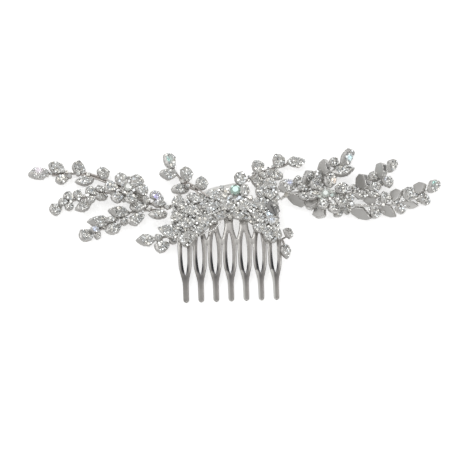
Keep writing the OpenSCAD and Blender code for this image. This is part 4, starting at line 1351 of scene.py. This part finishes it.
def flat_floor():
    """White lit table top: a large square that glows towards the camera."""
    mesh = bpy.data.meshes.new("table_top")
    side = 1.5
    square = [(-side, -side, 0), (side, -side, 0), (side, side, 0), (-side, side, 0)]
    mesh.from_pydata(square, [], [(0, 1, 2, 3)])
    floor = bpy.data.objects.new("table_top", mesh)
    bpy.context.scene.collection.objects.link(floor)
    mat, tree, shader = new_material("white table")
    seen = add_node(tree, "ShaderNodeLightPath").outputs["Is Camera Ray"]
    glow = mixed(tree, seen, (0.3, 0.3, 0.3, 1), (1, 1, 1, 1))
    set_inputs(tree, shader, Base_Color=(0.9, 0.9, 0.9, 1), Roughness=0.8, Specular_IOR_Level=0.2,
               Emission_Color=glow, Emission_Strength=0.56)
    mesh.materials.append(mat)


def area_light(name, place, size, power):
    """Square soft light that faces the comb. Lengths are metres."""
    data = bpy.data.lights.new(name, "AREA")
    data.size = size
    data.energy = power
    light = bpy.data.objects.new(name, data)
    light.location = place
    light.rotation_euler = (-Vector(place)).to_track_quat("-Z", "Y").to_euler()
    bpy.context.scene.collection.objects.link(light)


def studio_world():
    """Pale grey studio with dark upright screens. A screen stands at a bearing, anticlockwise from +X in
    degrees, and darkens the directions within so many degrees of it, up to screen_top."""
    screens = [(40, 8, 17, 0.6), (140, 4, 9, 0.5)]
    screen_top = (0.35, 0.55)
    world = bpy.data.worlds.new("studio")
    world.use_nodes = True
    tree = world.node_tree
    where = add_node(tree, "ShaderNodeTexCoord").outputs["Generated"]

    def towards(axis):
        dot = add_node(tree, "ShaderNodeVectorMath", [("operation", "DOT_PRODUCT")])
        feed(tree, dot.inputs[0], where)
        feed(tree, dot.inputs[1], axis)
        return dot.outputs["Value"]

    def smooth_step(value, first, last, most):
        return add_node(tree, "ShaderNodeMapRange", [("interpolation_type", "SMOOTHSTEP")], Value=value,
                        From_Min=first, From_Max=last, To_Max=most).outputs["Result"]

    colour = (0.56, 0.56, 0.555, 1)
    for bearing, full_angle, no_angle, strength in screens:
        cos, sin = math.cos(math.radians(bearing)), math.sin(math.radians(bearing))
        rim, core = math.sin(math.radians(no_angle)), math.sin(math.radians(full_angle))
        aside = maths(tree, "ABSOLUTE", towards((-sin, cos, 0)))
        beside = smooth_step(aside, rim, core, strength)
        below = smooth_step(towards((cos, sin, 0)), *screen_top, 1.0)
        colour = mixed(tree, maths(tree, "MULTIPLY", beside, below), colour, (0.01, 0.01, 0.012, 1))
    set_inputs(tree, tree.nodes["Background"], Color=colour)
    bpy.context.scene.world = world


flat_floor()
studio_world()
area_light("left_box", (-0.8, 0.3, 0.7), 0.16, 0.7)
area_light("right_box", (0.8, 0.1, 0.8), 0.16, 0.7)
area_light("front_box", (0.2, -0.9, 0.6), 0.16, 0.6)
area_light("back_box", (-0.2, 0.9, 0.6), 0.16, 0.6)
area_light("high_box", (-0.3, 0.5, 1.0), 0.2, 1.0)
bpy.context.scene.view_settings.view_transform = "Standard"

# In metres, how far off the camera is and how wide the picture is at the comb, and in mm the place as
# seen at the picture's middle
camera_distance = 1.2
frame_width = 0.1788
middle_seen = (-3.5, 0.4)


def add_camera():
    """Camera at the photo's angle, far enough off to show little perspective."""
    data = bpy.data.cameras.new("camera")
    data.sensor_width = 36
    data.lens = 36 * camera_distance / frame_width
    camera = bpy.data.objects.new("camera", data)
    back = Vector((0, -math.cos(eye_rise), math.sin(eye_rise)))
    camera.location = Vector(laid(*middle_seen, 2.0) * MM) + back * camera_distance
    camera.rotation_euler = (-back).to_track_quat("-Z", "Y").to_euler()
    bpy.context.scene.collection.objects.link(camera)
    bpy.context.scene.camera = camera


add_camera()
